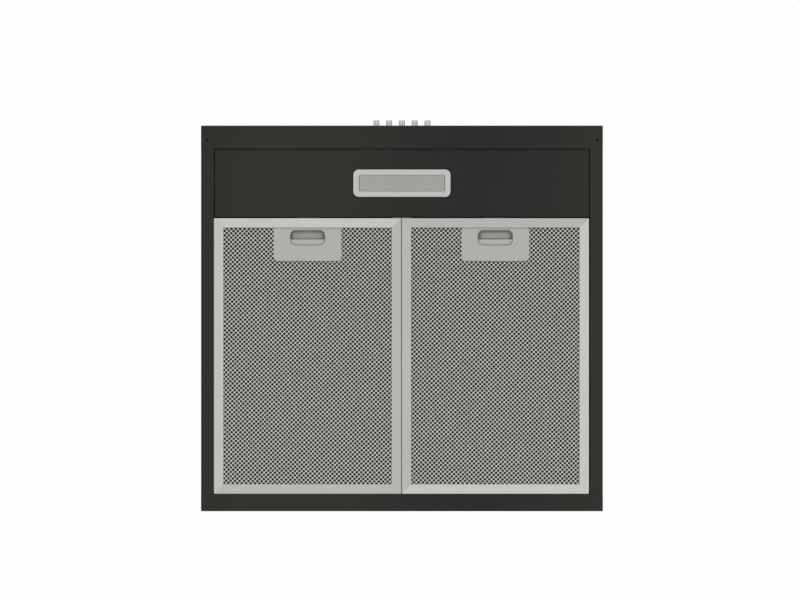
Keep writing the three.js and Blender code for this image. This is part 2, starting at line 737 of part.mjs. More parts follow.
function ledBoard() {
  const top = PANEL_Z + SKIN + LAMP_HOUSING_HEIGHT - LAMP_WALL - GAP;
  const halfX = LAMP_WINDOW_LENGTH / 2;
  const halfY = LAMP_WINDOW_WIDTH / 2 - LENS_SEAT;
  const board = block(
    [-halfX, LAMP_Y - halfY, top - BOARD_THICKNESS],
    [halfX, LAMP_Y + halfY, top],
  );
  const chips = [];
  const half = CHIP_SIZE / 2;
  for (let i = 0; i < CHIP_COUNT; i += 1) {
    const x = ((i + 0.5) / CHIP_COUNT - 0.5) * LAMP_WINDOW_LENGTH;
    chips.push(block(
      [x - half, LAMP_Y - half, top - BOARD_THICKNESS - CHIP_HEIGHT],
      [x + half, LAMP_Y + half, top - BOARD_THICKNESS / 2],
    ));
  }
  return union([board, ...chips]);
}

// ---------------------------------------------------------------- buttons and switches

function buttonPlaces() {
  return Array.from(
    { length: BUTTON_COUNT },
    (_, i) => (i - (BUTTON_COUNT - 1) / 2) * BUTTON_PITCH,
  );
}

// A cap with a rounded end and a thinner stem, lying along Y with its front end at y = 0.
function button() {
  const capLength = BLOCK_Y - FRONT_Y + BUTTON_PROUD - BUTTON_TRAVEL - BUTTON_SHOULDER;
  const length = capLength + BUTTON_TRAVEL + STEM_REACH;
  const profile = [[0, 0]];
  const arcSteps = 3;
  for (let i = 0; i <= arcSteps; i += 1) {
    const angle = (i / arcSteps) * (Math.PI / 2);
    profile.push([
      BUTTON_RADIUS - BUTTON_EDGE + BUTTON_EDGE * Math.sin(angle),
      BUTTON_EDGE - BUTTON_EDGE * Math.cos(angle),
    ]);
  }
  profile.push([BUTTON_RADIUS, capLength]);
  profile.push([STEM_RADIUS, capLength]);
  profile.push([STEM_RADIUS, length]);
  profile.push([0, length]);
  const geometry = geometryOf(turned(profile, 18));
  geometry.rotateX(-Math.PI / 2);
  return geometry;
}

function switchBlock() {
  const body = block(
    [-BLOCK_HALF, BLOCK_Y, BUTTON_Z - BLOCK_HEIGHT / 2],
    [BLOCK_HALF, BLOCK_Y + BLOCK_DEPTH, BUTTON_Z + BLOCK_HEIGHT / 2],
  );
  const bores = buttonPlaces().map((x) => rodAlongY(
    STEM_RADIUS + BUTTON_CLEARANCE,
    BLOCK_Y - 1,
    BLOCK_Y + STEM_REACH + 2 * BUTTON_TRAVEL,
    x,
    BUTTON_Z,
    12,
  ));
  return body.subtract(union(bores));
}

function switchBracket() {
  const halfX = BLOCK_HALF + BRACKET_END;
  const front = FRONT_Y + SKIN;
  const bottom = BUTTON_Z - BLOCK_HEIGHT / 2 - SKIN;
  const shelf = block([-halfX, front, bottom], [halfX, BLOCK_Y + BLOCK_DEPTH, bottom + SHEET]);
  const face = block([-halfX, front, bottom], [halfX, front + SHEET, BUTTON_Z + BLOCK_HEIGHT / 2]);
  const holes = buttonPlaces().map((x) => rodAlongY(
    BUTTON_RADIUS + BUTTON_CLEARANCE,
    front - 1,
    front + SHEET + 1,
    x,
    BUTTON_Z,
    16,
  ));
  return shelf.add(face).subtract(union(holes));
}

// ---------------------------------------------------------------- filters
// Each filter is drawn about its own middle line, with y counted back from its front edge
// and z up from its lower face.

const MESH_HALF = FILTER_WIDTH / 2 - FILTER_SHEET - PAD_SIDE_CLEARANCE;
const MESH_FRONT = FILTER_SHEET + PAD_SIDE_CLEARANCE;
const MESH_REAR = FILTER_LENGTH - FILTER_SHEET - PAD_SIDE_CLEARANCE;
const MESH_LOW = FILTER_SHEET + MESH_SETBACK;
const MESH_HIGH = FILTER_THICKNESS - FILTER_SHEET - MESH_SETBACK;

function latchHeights() {
  const low = HANDLE_THICKNESS + GAP;
  const tongue = low + LATCH_TONGUE_STEP;
  return {
    low,
    high: low + LATCH_THICKNESS,
    tongue,
    tongueTop: FILTER_Z + tongue + LATCH_TONGUE_THICKNESS,
  };
}

function latchPlan() {
  const pocketRear = HANDLE_START + FINGER_START + POCKET_DEPTH;
  const windowRear = HANDLE_START + FINGER_START + FINGER_DEPTH;
  return {
    front: HANDLE_START + FINGER_START - LATCH_TRAVEL - LATCH_ARM + GAP,
    barRear: HANDLE_START + FINGER_START - LATCH_TRAVEL + GAP,
    pocketRear,
    rear: windowRear + LATCH_TAIL,
    half: FINGER_WIDTH / 2 + 1 + LATCH_ARM,
    inner: FINGER_WIDTH / 2 + 1,
  };
}

function trayPlan() {
  const plan = latchPlan();
  return {
    half: plan.half + GAP + TRAY_WALL,
    front: MESH_FRONT,
    rear: plan.rear + LATCH_TRAVEL + SPRING_CLEARANCE + SPRING_LENGTH + TRAY_WALL,
    low: HANDLE_THICKNESS + GAP,
    high: MESH_HIGH - FACE_MESH - PAD_SIDE_CLEARANCE,
  };
}

function filterMiddle(side) {
  return side * FILTER_X + FILTER_SHIFT;
}

function filterFrame() {
  const half = FILTER_WIDTH / 2;
  const body = block([-half, 0, 0], [half, FILTER_LENGTH, FILTER_THICKNESS]);
  const inside = block(
    [-half + FILTER_SHEET, FILTER_SHEET, FILTER_SHEET],
    [half - FILTER_SHEET, FILTER_LENGTH - FILTER_SHEET, FILTER_THICKNESS - FILTER_SHEET],
  );
  const window = block(
    [-half + FILTER_BORDER, FILTER_BORDER, -1],
    [half - FILTER_BORDER, FILTER_LENGTH - FILTER_BORDER, FILTER_THICKNESS + 1],
  );
  const heights = latchHeights();
  const slotHalf = LATCH_TONGUE_WIDTH / 2 + TONGUE_SIDE_CLEARANCE;
  const slot = block(
    [-slotHalf, -1, heights.tongue - TONGUE_CLEARANCE],
    [slotHalf, FILTER_SHEET + 1, heights.tongue + LATCH_TONGUE_THICKNESS + TONGUE_CLEARANCE],
  );
  const tabZ = LIP_TOP_Z + TAB_CLEARANCE - FILTER_Z;
  const tabs = [-1, 1].map((side) => {
    const x = side * (half - TAB_INSET);
    return block(
      [x - TAB_WIDTH / 2, FILTER_LENGTH - FILTER_SHEET, tabZ],
      [x + TAB_WIDTH / 2, FILTER_LENGTH + TAB_REACH, tabZ + TAB_THICKNESS],
    );
  });
  return body.subtract(union([inside, window, slot])).add(union(tabs));
}

// One layer of the filter between two heights, cut away round the latch tray.
function meshLayer(z0, z1) {
  const layer = block([-MESH_HALF, MESH_FRONT, z0], [MESH_HALF, MESH_REAR, z1]);
  const tray = trayPlan();
  if (z0 > tray.high + GAP) return layer;
  return layer.subtract(block(
    [-tray.half - GAP, 0, z0 - 1],
    [tray.half + GAP, tray.rear + GAP, z1 + 1],
  ));
}

function filterFaceMesh() {
  return meshLayer(MESH_LOW, MESH_LOW + FACE_MESH);
}

function filterBackMesh() {
  return meshLayer(MESH_HIGH - FACE_MESH, MESH_HIGH);
}

function filterCore() {
  const z0 = MESH_LOW + FACE_MESH + GAP;
  const z1 = MESH_HIGH - FACE_MESH - GAP;
  const tray = trayPlan();
  const layer = block([-MESH_HALF, MESH_FRONT, z0], [MESH_HALF, MESH_REAR, z1]);
  return layer.subtract(block(
    [-tray.half - GAP, 0, z0 - 1],
    [tray.half + GAP, tray.rear + GAP, Math.max(tray.high, z0) + GAP],
  ));
}

function handlePlate() {
  const shape = new THREE.Shape();
  const half = HANDLE_WIDTH / 2;
  const rear = HANDLE_START + HANDLE_DEPTH;
  const r = HANDLE_CORNER;
  shape.moveTo(-half, HANDLE_START);
  shape.lineTo(half, HANDLE_START);
  shape.lineTo(half, rear - r);
  shape.absarc(half - r, rear - r, r, 0, Math.PI / 2);
  shape.lineTo(-half + r, rear);
  shape.absarc(-half + r, rear - r, r, Math.PI / 2, Math.PI);
  const start = HANDLE_START + FINGER_START;
  shape.holes.push(roundedRectangle(
    -FINGER_WIDTH / 2,
    start,
    FINGER_WIDTH / 2,
    start + FINGER_DEPTH,
    FINGER_CORNER,
  ));
  return slab(shape, 0, HANDLE_THICKNESS);
}

function latchTray() {
  const { half, front, rear, low, high } = trayPlan();
  const box = block([-half, front, low], [half, rear, high]);
  const room = block(
    [-half + TRAY_WALL, front - 1, low - 1],
    [half - TRAY_WALL, rear - TRAY_WALL, high - TRAY_WALL],
  );
  return box.subtract(room);
}

function latch() {
  const plan = latchPlan();
  const { low, high, tongue } = latchHeights();
  const ringBlock = block([-plan.half, plan.front, low], [plan.half, plan.rear, high]);
  const pocket = block(
    [-plan.inner, plan.barRear, low - 1],
    [plan.inner, plan.pocketRear, high + 1],
  );
  const riser = block(
    [-LATCH_TONGUE_WIDTH / 2, plan.front, low],
    [LATCH_TONGUE_WIDTH / 2, plan.barRear, tongue + LATCH_TONGUE_THICKNESS],
  );
  const reach = block(
    [-LATCH_TONGUE_WIDTH / 2, TONGUE_STOP - FILTER_FRONT_GAP, tongue],
    [LATCH_TONGUE_WIDTH / 2, plan.front + 1, tongue + LATCH_TONGUE_THICKNESS],
  );
  return union([ringBlock.subtract(pocket), riser, reach]);
}

function latchSpring() {
  const tray = trayPlan();
  const rear = tray.rear - TRAY_WALL - GAP - SPRING_WIRE;
  const front = rear - SPRING_LENGTH + SPRING_CLEARANCE;
  const centre = tray.low + SPRING_WIRE + SPRING_RADIUS + GAP;
  const pointsPerTurn = 8;
  const count = SPRING_TURNS * pointsPerTurn;
  const points = [];
  for (let i = 0; i <= count; i += 1) {
    const angle = (i / pointsPerTurn) * 2 * Math.PI;
    points.push([
      SPRING_RADIUS * Math.cos(angle),
      front + ((rear - front) * i) / count,
      centre + SPRING_RADIUS * Math.sin(angle),
    ]);
  }
  return lead(points, SPRING_WIRE, SPRING_TURNS * 10);
}

function filterAssembly(side, label) {
  const assembly = new THREE.Group();
  assembly.position.set(filterMiddle(side), FILTER_FRONT_Y, FILTER_Z);
  assembly.add(piece(`filter_frame_${label}`, filterFrame(), ALUMINIUM));
  assembly.add(piece(`filter_face_mesh_${label}`, filterFaceMesh(), EXPANDED_METAL));
  assembly.add(piece(`filter_core_${label}`, filterCore(), EXPANDED_METAL));
  assembly.add(piece(`filter_back_mesh_${label}`, filterBackMesh(), EXPANDED_METAL));
  assembly.add(piece(`filter_handle_${label}`, handlePlate(), GREY_PLASTIC));
  assembly.add(piece(`latch_tray_${label}`, latchTray(), GREY_PLASTIC));
  assembly.add(piece(`latch_${label}`, latch(), GREY_PLASTIC));
  assembly.add(piece(`latch_spring_${label}`, latchSpring(), STEEL));
  return assembly;
}

function filterRail() {
  const z = FILTER_TOP_Z + RAIL_CLEARANCE;
  const half = RAIL_WIDTH / 2;
  const y0 = PANEL_REAR_Y + GAP;
  const y1 = REAR_Y - SKIN;
  const body = block([-half, y0, z], [half, y1, z + RAIL_FLANGE]);
  const inside = block([-half + SHEET, y0 - 1, z + SHEET], [half - SHEET, y1 + 1, z + RAIL_FLANGE + 1]);
  return body.subtract(inside);
}

// ---------------------------------------------------------------- fan

// The snail's radius at an angle from the X axis: it grows clockwise from the tongue, seen from above.
function scrollRadius(degrees) {
  const share = (TONGUE_ANGLE + ((360 - degrees) % 360)) / SCROLL_SWEEP;
  return IMPELLER_RADIUS + IMPELLER_CLEARANCE + SCROLL_GROWTH * share;
}

function tonguePoint() {
  const radius = IMPELLER_RADIUS + IMPELLER_CLEARANCE;
  const angle = THREE.MathUtils.degToRad(TONGUE_ANGLE);
  return [FAN_X + radius * Math.cos(angle), FAN_Y + radius * Math.sin(angle)];
}

function scrollOutline(margin) {
  const points = [];
  const steps = 30;
  for (let i = steps; i >= 0; i -= 1) {
    const share = i / steps;
    const angle = THREE.MathUtils.degToRad(TONGUE_ANGLE - SCROLL_SWEEP * share);
    const radius = IMPELLER_RADIUS + IMPELLER_CLEARANCE + SCROLL_GROWTH * share + margin;
    points.push([FAN_X + radius * Math.cos(angle), FAN_Y + radius * Math.sin(angle)]);
  }
  return toShape(points);
}

// The duct from the snail to the space under the collar.
function outletOutline(margin) {
  const tongue = tonguePoint();
  const angle = THREE.MathUtils.degToRad(TONGUE_ANGLE);
  const front = COLLAR_Y - OUTLET_HALF;
  const run = (tongue[1] - front) / Math.cos(angle);
  const throat = FAN_Y + IMPELLER_RADIUS + IMPELLER_CLEARANCE + SCROLL_GROWTH;
  return toShape(grown([
    [FAN_X, throat],
    [FAN_X, FAN_Y + IMPELLER_RADIUS],
    tongue,
    [tongue[0] + run * Math.sin(angle), front],
    [OUTLET_HALF, front],
    [OUTLET_HALF, COLLAR_Y + OUTLET_HALF],
    [-OUTLET_HALF, COLLAR_Y + OUTLET_HALF],
  ], margin));
}

function fanPlan(margin, z0, z1) {
  return slab(scrollOutline(margin), z0, z1).add(slab(outletOutline(margin), z0, z1));
}

function fanHousing() {
  const shell = fanPlan(SCROLL_WALL, FLOOR_Z, HOUSING_TOP_Z);
  const room = fanPlan(0, FLOOR_TOP_Z, HOUSING_TOP_Z + 1);
  const inlet = rod(INLET_RADIUS, FLOOR_Z - 1, FLOOR_TOP_Z + 1, 48, FAN_X, FAN_Y);
  return shell.subtract(room).subtract(inlet);
}

function motorScrewPlaces() {
  return [90, 210, 330].map((degrees) => {
    const angle = THREE.MathUtils.degToRad(degrees);
    return [
      FAN_X + MOTOR_SCREW_CIRCLE * Math.cos(angle),
      FAN_Y + MOTOR_SCREW_CIRCLE * Math.sin(angle),
    ];
  });
}

function fanLid() {
  const plate = fanPlan(SCROLL_WALL, LID_Z, LID_TOP_Z);
  const holes = [rod(COLLAR_RADIUS - COLLAR_WALL, LID_Z - 1, LID_TOP_Z + 1, 48, 0, COLLAR_Y)];
  motorScrewPlaces().forEach(([x, y]) => {
    holes.push(rod(MOTOR_SCREW_RADIUS + GAP, LID_Z - 1, LID_TOP_Z + 1, 12, x, y));
  });
  return plate.subtract(union(holes));
}

function motorScrew(x, y) {
  const seat = LID_TOP_Z + GAP;
  return turned([
    [0, seat + MOTOR_SCREW_HEAD_HEIGHT],
    [MOTOR_SCREW_HEAD, seat + MOTOR_SCREW_HEAD_HEIGHT - 0.2],
    [MOTOR_SCREW_HEAD, seat],
    [MOTOR_SCREW_RADIUS, seat],
    [MOTOR_SCREW_RADIUS, LID_Z - MOTOR_SCREW_DEPTH],
    [0, LID_Z - MOTOR_SCREW_DEPTH - 0.5],
  ], 12, x, y);
}

const MOTOR_TOP_Z = LID_Z - GAP;
const MOTOR_Z = MOTOR_TOP_Z - MOTOR_HEIGHT;
const HUB_Z = MOTOR_Z - HUB_DROP;

function motor() {
  const bore = SHAFT_RADIUS + SHAFT_CLEARANCE;
  const body = turned([
    [0, MOTOR_TOP_Z],
    [MOTOR_RADIUS - 1, MOTOR_TOP_Z],
    [MOTOR_RADIUS, MOTOR_TOP_Z - 1],
    [MOTOR_RADIUS, MOTOR_Z + MOTOR_CHAMFER],
    [MOTOR_RADIUS - MOTOR_CHAMFER, MOTOR_Z],
    [MOTOR_BOSS + 2, MOTOR_Z],
    [MOTOR_BOSS, MOTOR_Z - MOTOR_CHAMFER],
    [bore, MOTOR_Z - MOTOR_CHAMFER],
    [bore, MOTOR_Z + SHAFT_DEPTH],
    [0, MOTOR_Z + SHAFT_DEPTH],
  ], 32, FAN_X, FAN_Y);
  const holeEnd = LID_Z - MOTOR_SCREW_DEPTH - 2;
  const holes = motorScrewPlaces().map(([x, y]) => (
    rod(MOTOR_SCREW_RADIUS + GAP, holeEnd, MOTOR_TOP_Z + 1, 8, x, y)
  ));
  return body.subtract(union(holes));
}

function motorShaft() {
  const top = MOTOR_Z + SHAFT_DEPTH - GAP;
  const end = HUB_Z - SHAFT_END;
  return turned([
    [0, top],
    [SHAFT_RADIUS, top],
    [SHAFT_RADIUS, end],
    [SHAFT_RADIUS - SHAFT_CHAMFER, end - SHAFT_CHAMFER],
    [0, end - SHAFT_CHAMFER],
  ], 20, FAN_X, FAN_Y);
}

function blade() {
  const inner = IMPELLER_RADIUS - BLADE_CHORD - 1;
  const steps = 3;
  const edge = (offset, share) => {
    const radius = inner + BLADE_CHORD * share;
    const lean = THREE.MathUtils.degToRad(-BLADE_SWEEP) * share * share;
    return [radius * Math.cos(lean), radius * Math.sin(lean) + offset];
  };
  const points = [];
  for (let i = 0; i <= steps; i += 1) points.push(edge(-BLADE_THICKNESS / 2, i / steps));
  for (let i = steps; i >= 0; i -= 1) points.push(edge(BLADE_THICKNESS / 2, i / steps));
  return toShape(points);
}

function impeller() {
  const cup = MOTOR_RADIUS + CUP_CLEARANCE;
  const bore = SHAFT_RADIUS + SHAFT_CLEARANCE;
  const top = HOUSING_TOP_Z - IMPELLER_END_CLEARANCE;
  const low = FLOOR_TOP_Z + IMPELLER_END_CLEARANCE;
  const sheet = IMPELLER_SHEET;
  const back = turned([
    [bore, HUB_Z - HUB_THICKNESS],
    [HUB_RADIUS, HUB_Z - HUB_THICKNESS],
    [HUB_RADIUS, HUB_Z - sheet],
    [cup + sheet, HUB_Z - sheet],
    [cup + sheet, top - sheet],
    [IMPELLER_RADIUS, top - sheet],
    [IMPELLER_RADIUS, top],
    [cup, top],
    [cup, HUB_Z],
    [bore, HUB_Z],
    [bore, HUB_Z - HUB_THICKNESS],
  ], 48);
  const rimBore = IMPELLER_RADIUS - BLADE_CHORD - RIM_OVERLAP;
  const rim = ring(rimBore, IMPELLER_RADIUS, low, low + sheet, 48);
  const blades = [];
  for (let i = 0; i < BLADE_COUNT; i += 1) {
    const vane = slab(blade(), low + sheet / 2, top - sheet / 2);
    blades.push(vane.rotate([0, 0, (360 * i) / BLADE_COUNT]));
  }
  return union([back, rim, ...blades]).translate([FAN_X, FAN_Y, 0]);
}

function impellerNut() {
  const top = HUB_Z - HUB_THICKNESS - GAP;
  const low = top - NUT_HEIGHT;
  const body = rod(NUT_RADIUS, low, top, 6, FAN_X, FAN_Y);
  return body.subtract(rod(SHAFT_RADIUS + SHAFT_CLEARANCE, low - 1, top + 1, 20, FAN_X, FAN_Y));
}

function inletGuard() {
  const z1 = FLOOR_Z - GAP;
  const z0 = z1 - GUARD_WIRE;
  const rim = ring(INLET_RADIUS, INLET_RADIUS + GUARD_RIM, z0, z1, 48, FAN_X, FAN_Y);
  const rings = GUARD_RINGS.map((radius) => (
    ring(radius, radius + GUARD_WIRE, z0, z1, 24, FAN_X, FAN_Y)
  ));
  const reach = INLET_RADIUS + GUARD_RIM / 2;
  const bars = [0, 60, 120].map((degrees) => block(
    [-reach, -GUARD_WIRE / 2, z0],
    [reach, GUARD_WIRE / 2, z1],
  ).rotate([0, 0, degrees]).translate([FAN_X, FAN_Y, 0]));
  return union([rim, ...rings, ...bars]);
}

// ---------------------------------------------------------------- outlet

function outletCollar() {
  const inner = COLLAR_RADIUS - COLLAR_WALL;
  const body = turned([
    [inner - COLLAR_STOP, FLANGE_Z],
    [COLLAR_RADIUS + COLLAR_FLANGE, FLANGE_Z],
    [COLLAR_RADIUS + COLLAR_FLANGE, FLANGE_TOP_Z],
    [COLLAR_RADIUS, FLANGE_TOP_Z],
    [COLLAR_RADIUS, COLLAR_RISE],
    [inner, COLLAR_RISE],
    [inner, FLANGE_Z + COLLAR_WALL / 2],
    [inner - COLLAR_STOP, FLANGE_Z + COLLAR_WALL / 2],
    [inner - COLLAR_STOP, FLANGE_Z],
  ], 48, 0, COLLAR_Y);
  const pinHole = rodAlongX(PIN_RADIUS + GAP, -inner - 1, inner + 1, COLLAR_Y, PIN_Z, 12);
  return body.subtract(pinHole);
}

function flapPin() {
  const half = COLLAR_RADIUS - COLLAR_WALL + PIN_END;
  return rodAlongX(PIN_RADIUS, -half, half, COLLAR_Y, PIN_Z, 12);
}

// A half round flap; side 1 lies behind the pin and -1 in front of it.
function flap(side) {
  const radius = COLLAR_RADIUS - COLLAR_WALL - FLAP_CLEARANCE;
  const z0 = PIN_Z - FLAP_THICKNESS / 2;
  const disc = rod(radius, z0, z0 + FLAP_THICKNESS, 48, 0, COLLAR_Y);
  const half = [COLLAR_Y + side * FLAP_START, COLLAR_Y + side * (radius + 1)].sort((a, b) => a - b);
  const plate = disc.intersect(block([-radius - 1, half[0], z0 - 1], [radius + 1, half[1], z0 + 3]));
  const neck = [COLLAR_Y, COLLAR_Y + side * (FLAP_START + 2)].sort((a, b) => a - b);
  const knuckles = KNUCKLE_SHARE.map((share) => {
    const x = side * share * (COLLAR_RADIUS - COLLAR_WALL);
    const ends = [x - KNUCKLE_LENGTH / 2, x + KNUCKLE_LENGTH / 2];
    return rodAlongX(KNUCKLE_RADIUS, ...ends, COLLAR_Y, PIN_Z, 16).add(
      block([ends[0], neck[0], z0], [ends[1], neck[1], z0 + FLAP_THICKNESS]),
    );
  });
  const bore = rodAlongX(PIN_RADIUS + GAP / 2, -radius, radius, COLLAR_Y, PIN_Z, 12);
  return union([plate, ...knuckles]).subtract(bore);
}

// ---------------------------------------------------------------- electrics

const TERMINAL_Y = FLAT_Y + TERMINAL_BACK + TERMINAL_BOX[1] / 2;
const TERMINAL_TOP_Z = -SKIN;

function terminalBox() {
  const [sx, sy, sz] = TERMINAL_BOX;
  const low = [TERMINAL_X - sx / 2, TERMINAL_Y - sy / 2, TERMINAL_TOP_Z - sz];
  const high = [TERMINAL_X + sx / 2, TERMINAL_Y + sy / 2, TERMINAL_TOP_Z];
  const room = block(
    [low[0] + TERMINAL_WALL, low[1] + TERMINAL_WALL, low[2] - 1],
    [high[0] - TERMINAL_WALL, high[1] - TERMINAL_WALL, high[2] - TERMINAL_WALL],
  );
  const [stripX, stripY] = TERMINAL_STRIP.map((size) => size / 2);
  const strip = block(
    [TERMINAL_X - stripX, TERMINAL_Y - stripY, low[2] + TERMINAL_STRIP_BACK],
    [TERMINAL_X + stripX, TERMINAL_Y + stripY, high[2] - TERMINAL_WALL / 2],
  );
  return block(low, high).subtract(room).add(strip);
}

function terminalCover() {
  const [sx, sy, sz] = TERMINAL_BOX;
  const top = TERMINAL_TOP_Z - sz - GAP;
  const halfX = sx / 2 + COVER_OVERHANG;
  const halfY = sy / 2 + COVER_OVERHANG;
  return slab(roundedRectangle(
    TERMINAL_X - halfX,
    TERMINAL_Y - halfY,
    TERMINAL_X + halfX,
    TERMINAL_Y + halfY,
    COVER_CORNER,
  ), top - COVER_THICKNESS, top);
}

const CAPACITOR_Y = TERMINAL_Y + TERMINAL_BOX[1] / 2 + CAPACITOR_BACK;

function capacitor() {
  const z = TERMINAL_TOP_Z - CAPACITOR_RADIUS - CAPACITOR_LIFT;
  const rear = CAPACITOR_Y + CAPACITOR_LENGTH;
  const can = rodAlongY(CAPACITOR_RADIUS, CAPACITOR_Y, rear, TERMINAL_X, z, 28);
  const capRadius = CAPACITOR_RADIUS - CAPACITOR_CAP;
  const cap = rodAlongY(capRadius, CAPACITOR_Y - CAPACITOR_CAP, CAPACITOR_Y + 1, TERMINAL_X, z, 20);
  const half = CAPACITOR_FOOT / 2;
  const middle = CAPACITOR_Y + CAPACITOR_LENGTH / 2;
  const foot = block(
    [TERMINAL_X - half, middle - half, z],
    [TERMINAL_X + half, middle + half, TERMINAL_TOP_Z],
  );
  return union([can, cap, foot]);
}

function cableGrommet() {
  return turned([
    [GROMMET_BORE, 2],
    [GROMMET_HOLE + GROMMET_RIM, 1.4],
    [GROMMET_HOLE + GROMMET_RIM, GAP],
    [GROMMET_HOLE - GAP, GAP],
    [GROMMET_HOLE - GAP, -SKIN],
    [GROMMET_HOLE + GROMMET_RIM, -SKIN],
    [GROMMET_HOLE + GROMMET_RIM - 1, -SKIN - 2.7],
    [GROMMET_BORE, -SKIN - 3.7],
    [GROMMET_BORE, 2],
  ], 24, TERMINAL_X, REAR_Y - GROMMET_BACK);
}

const CONNECTOR_END_X = FAN_X + scrollRadius(0) + SCROLL_WALL + CONNECTOR[0];
const CONNECTOR_Z = HOUSING_TOP_Z - CONNECTOR_DROP;
const LEAD_Z = TERMINAL_TOP_Z - LEAD_DROP;

// A plug housing whose inner face follows the curve of the fan housing.
function motorConnector() {
  const [sx, sy, sz] = CONNECTOR;
  const low = CONNECTOR_Z - sz / 2;
  const high = CONNECTOR_Z + sz / 2;
  const body = block(
    [CONNECTOR_END_X - 2 * sx, FAN_Y - sy / 2, low],
    [CONNECTOR_END_X, FAN_Y + sy / 2, high],
  );
  return body.subtract(slab(scrollOutline(SCROLL_WALL + GAP), low - 1, high + 1));
}

function leads() {
  const boxLeft = TERMINAL_X - TERMINAL_BOX[0] / 2 - GAP;
  const boxFront = TERMINAL_Y - TERMINAL_BOX[1] / 2 - GAP;
  const blockSide = BLOCK_HALF + GAP;
  const blockMiddle = BLOCK_Y + BLOCK_DEPTH / 2;
  const lampTop = PANEL_Z + SKIN + LAMP_HOUSING_HEIGHT + GAP;
  return [
    piece('switch_lead', lead([
      [blockSide, blockMiddle, BUTTON_Z],
      [blockSide + 30, blockMiddle, BUTTON_Z + 1],
      [TERMINAL_X - 30, blockMiddle + 5, BUTTON_Z + 8],
      [TERMINAL_X, blockMiddle + 34, BUTTON_Z + 40],
      [TERMINAL_X, boxFront - 2 * LEAD_STRAIGHT, LEAD_Z],
      [TERMINAL_X, boxFront - LEAD_STRAIGHT, LEAD_Z],
      [TERMINAL_X, boxFront, LEAD_Z],
    ], SWITCH_LEAD_RADIUS, 24), LEAD),
    piece('lamp_lead', lead([
      [30, LAMP_Y, lampTop],
      [30, LAMP_Y, lampTop + 12],
      [60, LAMP_Y + 20, lampTop + 46],
      [TERMINAL_X - 20, boxFront - 2 * LEAD_STRAIGHT, LEAD_Z],
      [TERMINAL_X - 20, boxFront - LEAD_STRAIGHT, LEAD_Z],
      [TERMINAL_X - 20, boxFront, LEAD_Z],
    ], LAMP_LEAD_RADIUS, 20), LEAD),
    piece('motor_lead', lead([
      [CONNECTOR_END_X + GAP, FAN_Y, CONNECTOR_Z],
      [CONNECTOR_END_X + LEAD_STRAIGHT, FAN_Y, CONNECTOR_Z],
      [boxLeft - 2 * LEAD_STRAIGHT, TERMINAL_Y, LEAD_Z],
      [boxLeft - LEAD_STRAIGHT, TERMINAL_Y, LEAD_Z],
      [boxLeft, TERMINAL_Y, LEAD_Z],
    ], MOTOR_LEAD_RADIUS, 16), LEAD),
  ];
}

// ---------------------------------------------------------------- the whole hood

const hood = new THREE.Group();

hood.add(piece('front_panel', frontPanel(), PAINT));
hood.add(piece('top_panel', topPanel(), PAINT));
hood.add(piece('rear_panel', rearPanel(), PAINT));
hood.add(piece('side_panel_left', sidePanel(-1), PAINT));
hood.add(piece('side_panel_right', sidePanel(1), PAINT));
hood.add(piece('corner_screw_left', cornerScrew(-1), BLACK_STEEL));
hood.add(piece('corner_screw_right', cornerScrew(1), BLACK_STEEL));
hood.add(piece('lamp_panel', lampPanel(), PAINT));
hood.add(piece('filter_rail', filterRail(), GALVANISED));

hood.add(piece('lamp_bezel', lampBezel(), SILVER_PLASTIC));
hood.add(piece('lamp_lens', lampLens(), FROSTED));
hood.add(piece('lamp_housing', lampHousing(), WHITE_PLASTIC));
hood.add(piece('led_board', ledBoard(), BOARD));

buttonPlaces().forEach((x, i) => {
  const cap = piece(`button_${i + 1}`, button(), SILVER_PLASTIC);
  cap.position.set(x, FRONT_Y - BUTTON_PROUD, BUTTON_Z);
  hood.add(cap);
});
hood.add(piece('switch_block', switchBlock(), BLACK_PLASTIC));
hood.add(piece('switch_bracket', switchBracket(), GALVANISED));

hood.add(filterAssembly(-1, 'left'));
hood.add(filterAssembly(1, 'right'));

hood.add(piece('fan_housing', fanHousing(), BLACK_PLASTIC));
hood.add(piece('fan_lid', fanLid(), BLACK_PLASTIC));
hood.add(piece('inlet_guard', inletGuard(), BLACK_PLASTIC));
hood.add(piece('motor', motor(), GALVANISED));
motorScrewPlaces().forEach(([x, y], i) => {
  hood.add(piece(`motor_screw_${i + 1}`, motorScrew(x, y), STEEL));
});
hood.add(piece('motor_shaft', motorShaft(), STEEL));
hood.add(piece('impeller', impeller(), WHITE_PLASTIC));
hood.add(piece('impeller_nut', impellerNut(), STEEL));

hood.add(piece('outlet_collar', outletCollar(), BLACK_PLASTIC));
hood.add(piece('flap_pin', flapPin(), STEEL));
hood.add(piece('outlet_flap_front', flap(-1), BLACK_PLASTIC));
hood.add(piece('outlet_flap_rear', flap(1), BLACK_PLASTIC));

hood.add(piece('terminal_box', terminalBox(), BLACK_PLASTIC));
hood.add(piece('terminal_cover', terminalCover(), BLACK_PLASTIC));
hood.add(piece('capacitor', capacitor(), GALVANISED));
hood.add(piece('cable_grommet', cableGrommet(), BLACK_PLASTIC));
hood.add(piece('motor_connector', motorConnector(), WHITE_PLASTIC));
leads().forEach((wire) => hood.add(wire));

export default hood;
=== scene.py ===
"""Finishes and fine shapes of an under-cabinet cooker hood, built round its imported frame.

Metres; X to the right, Y from the front to the wall, Z up, as in the frame.
"""
import json
import math

import bmesh
import bpy
from mathutils import Matrix, Vector


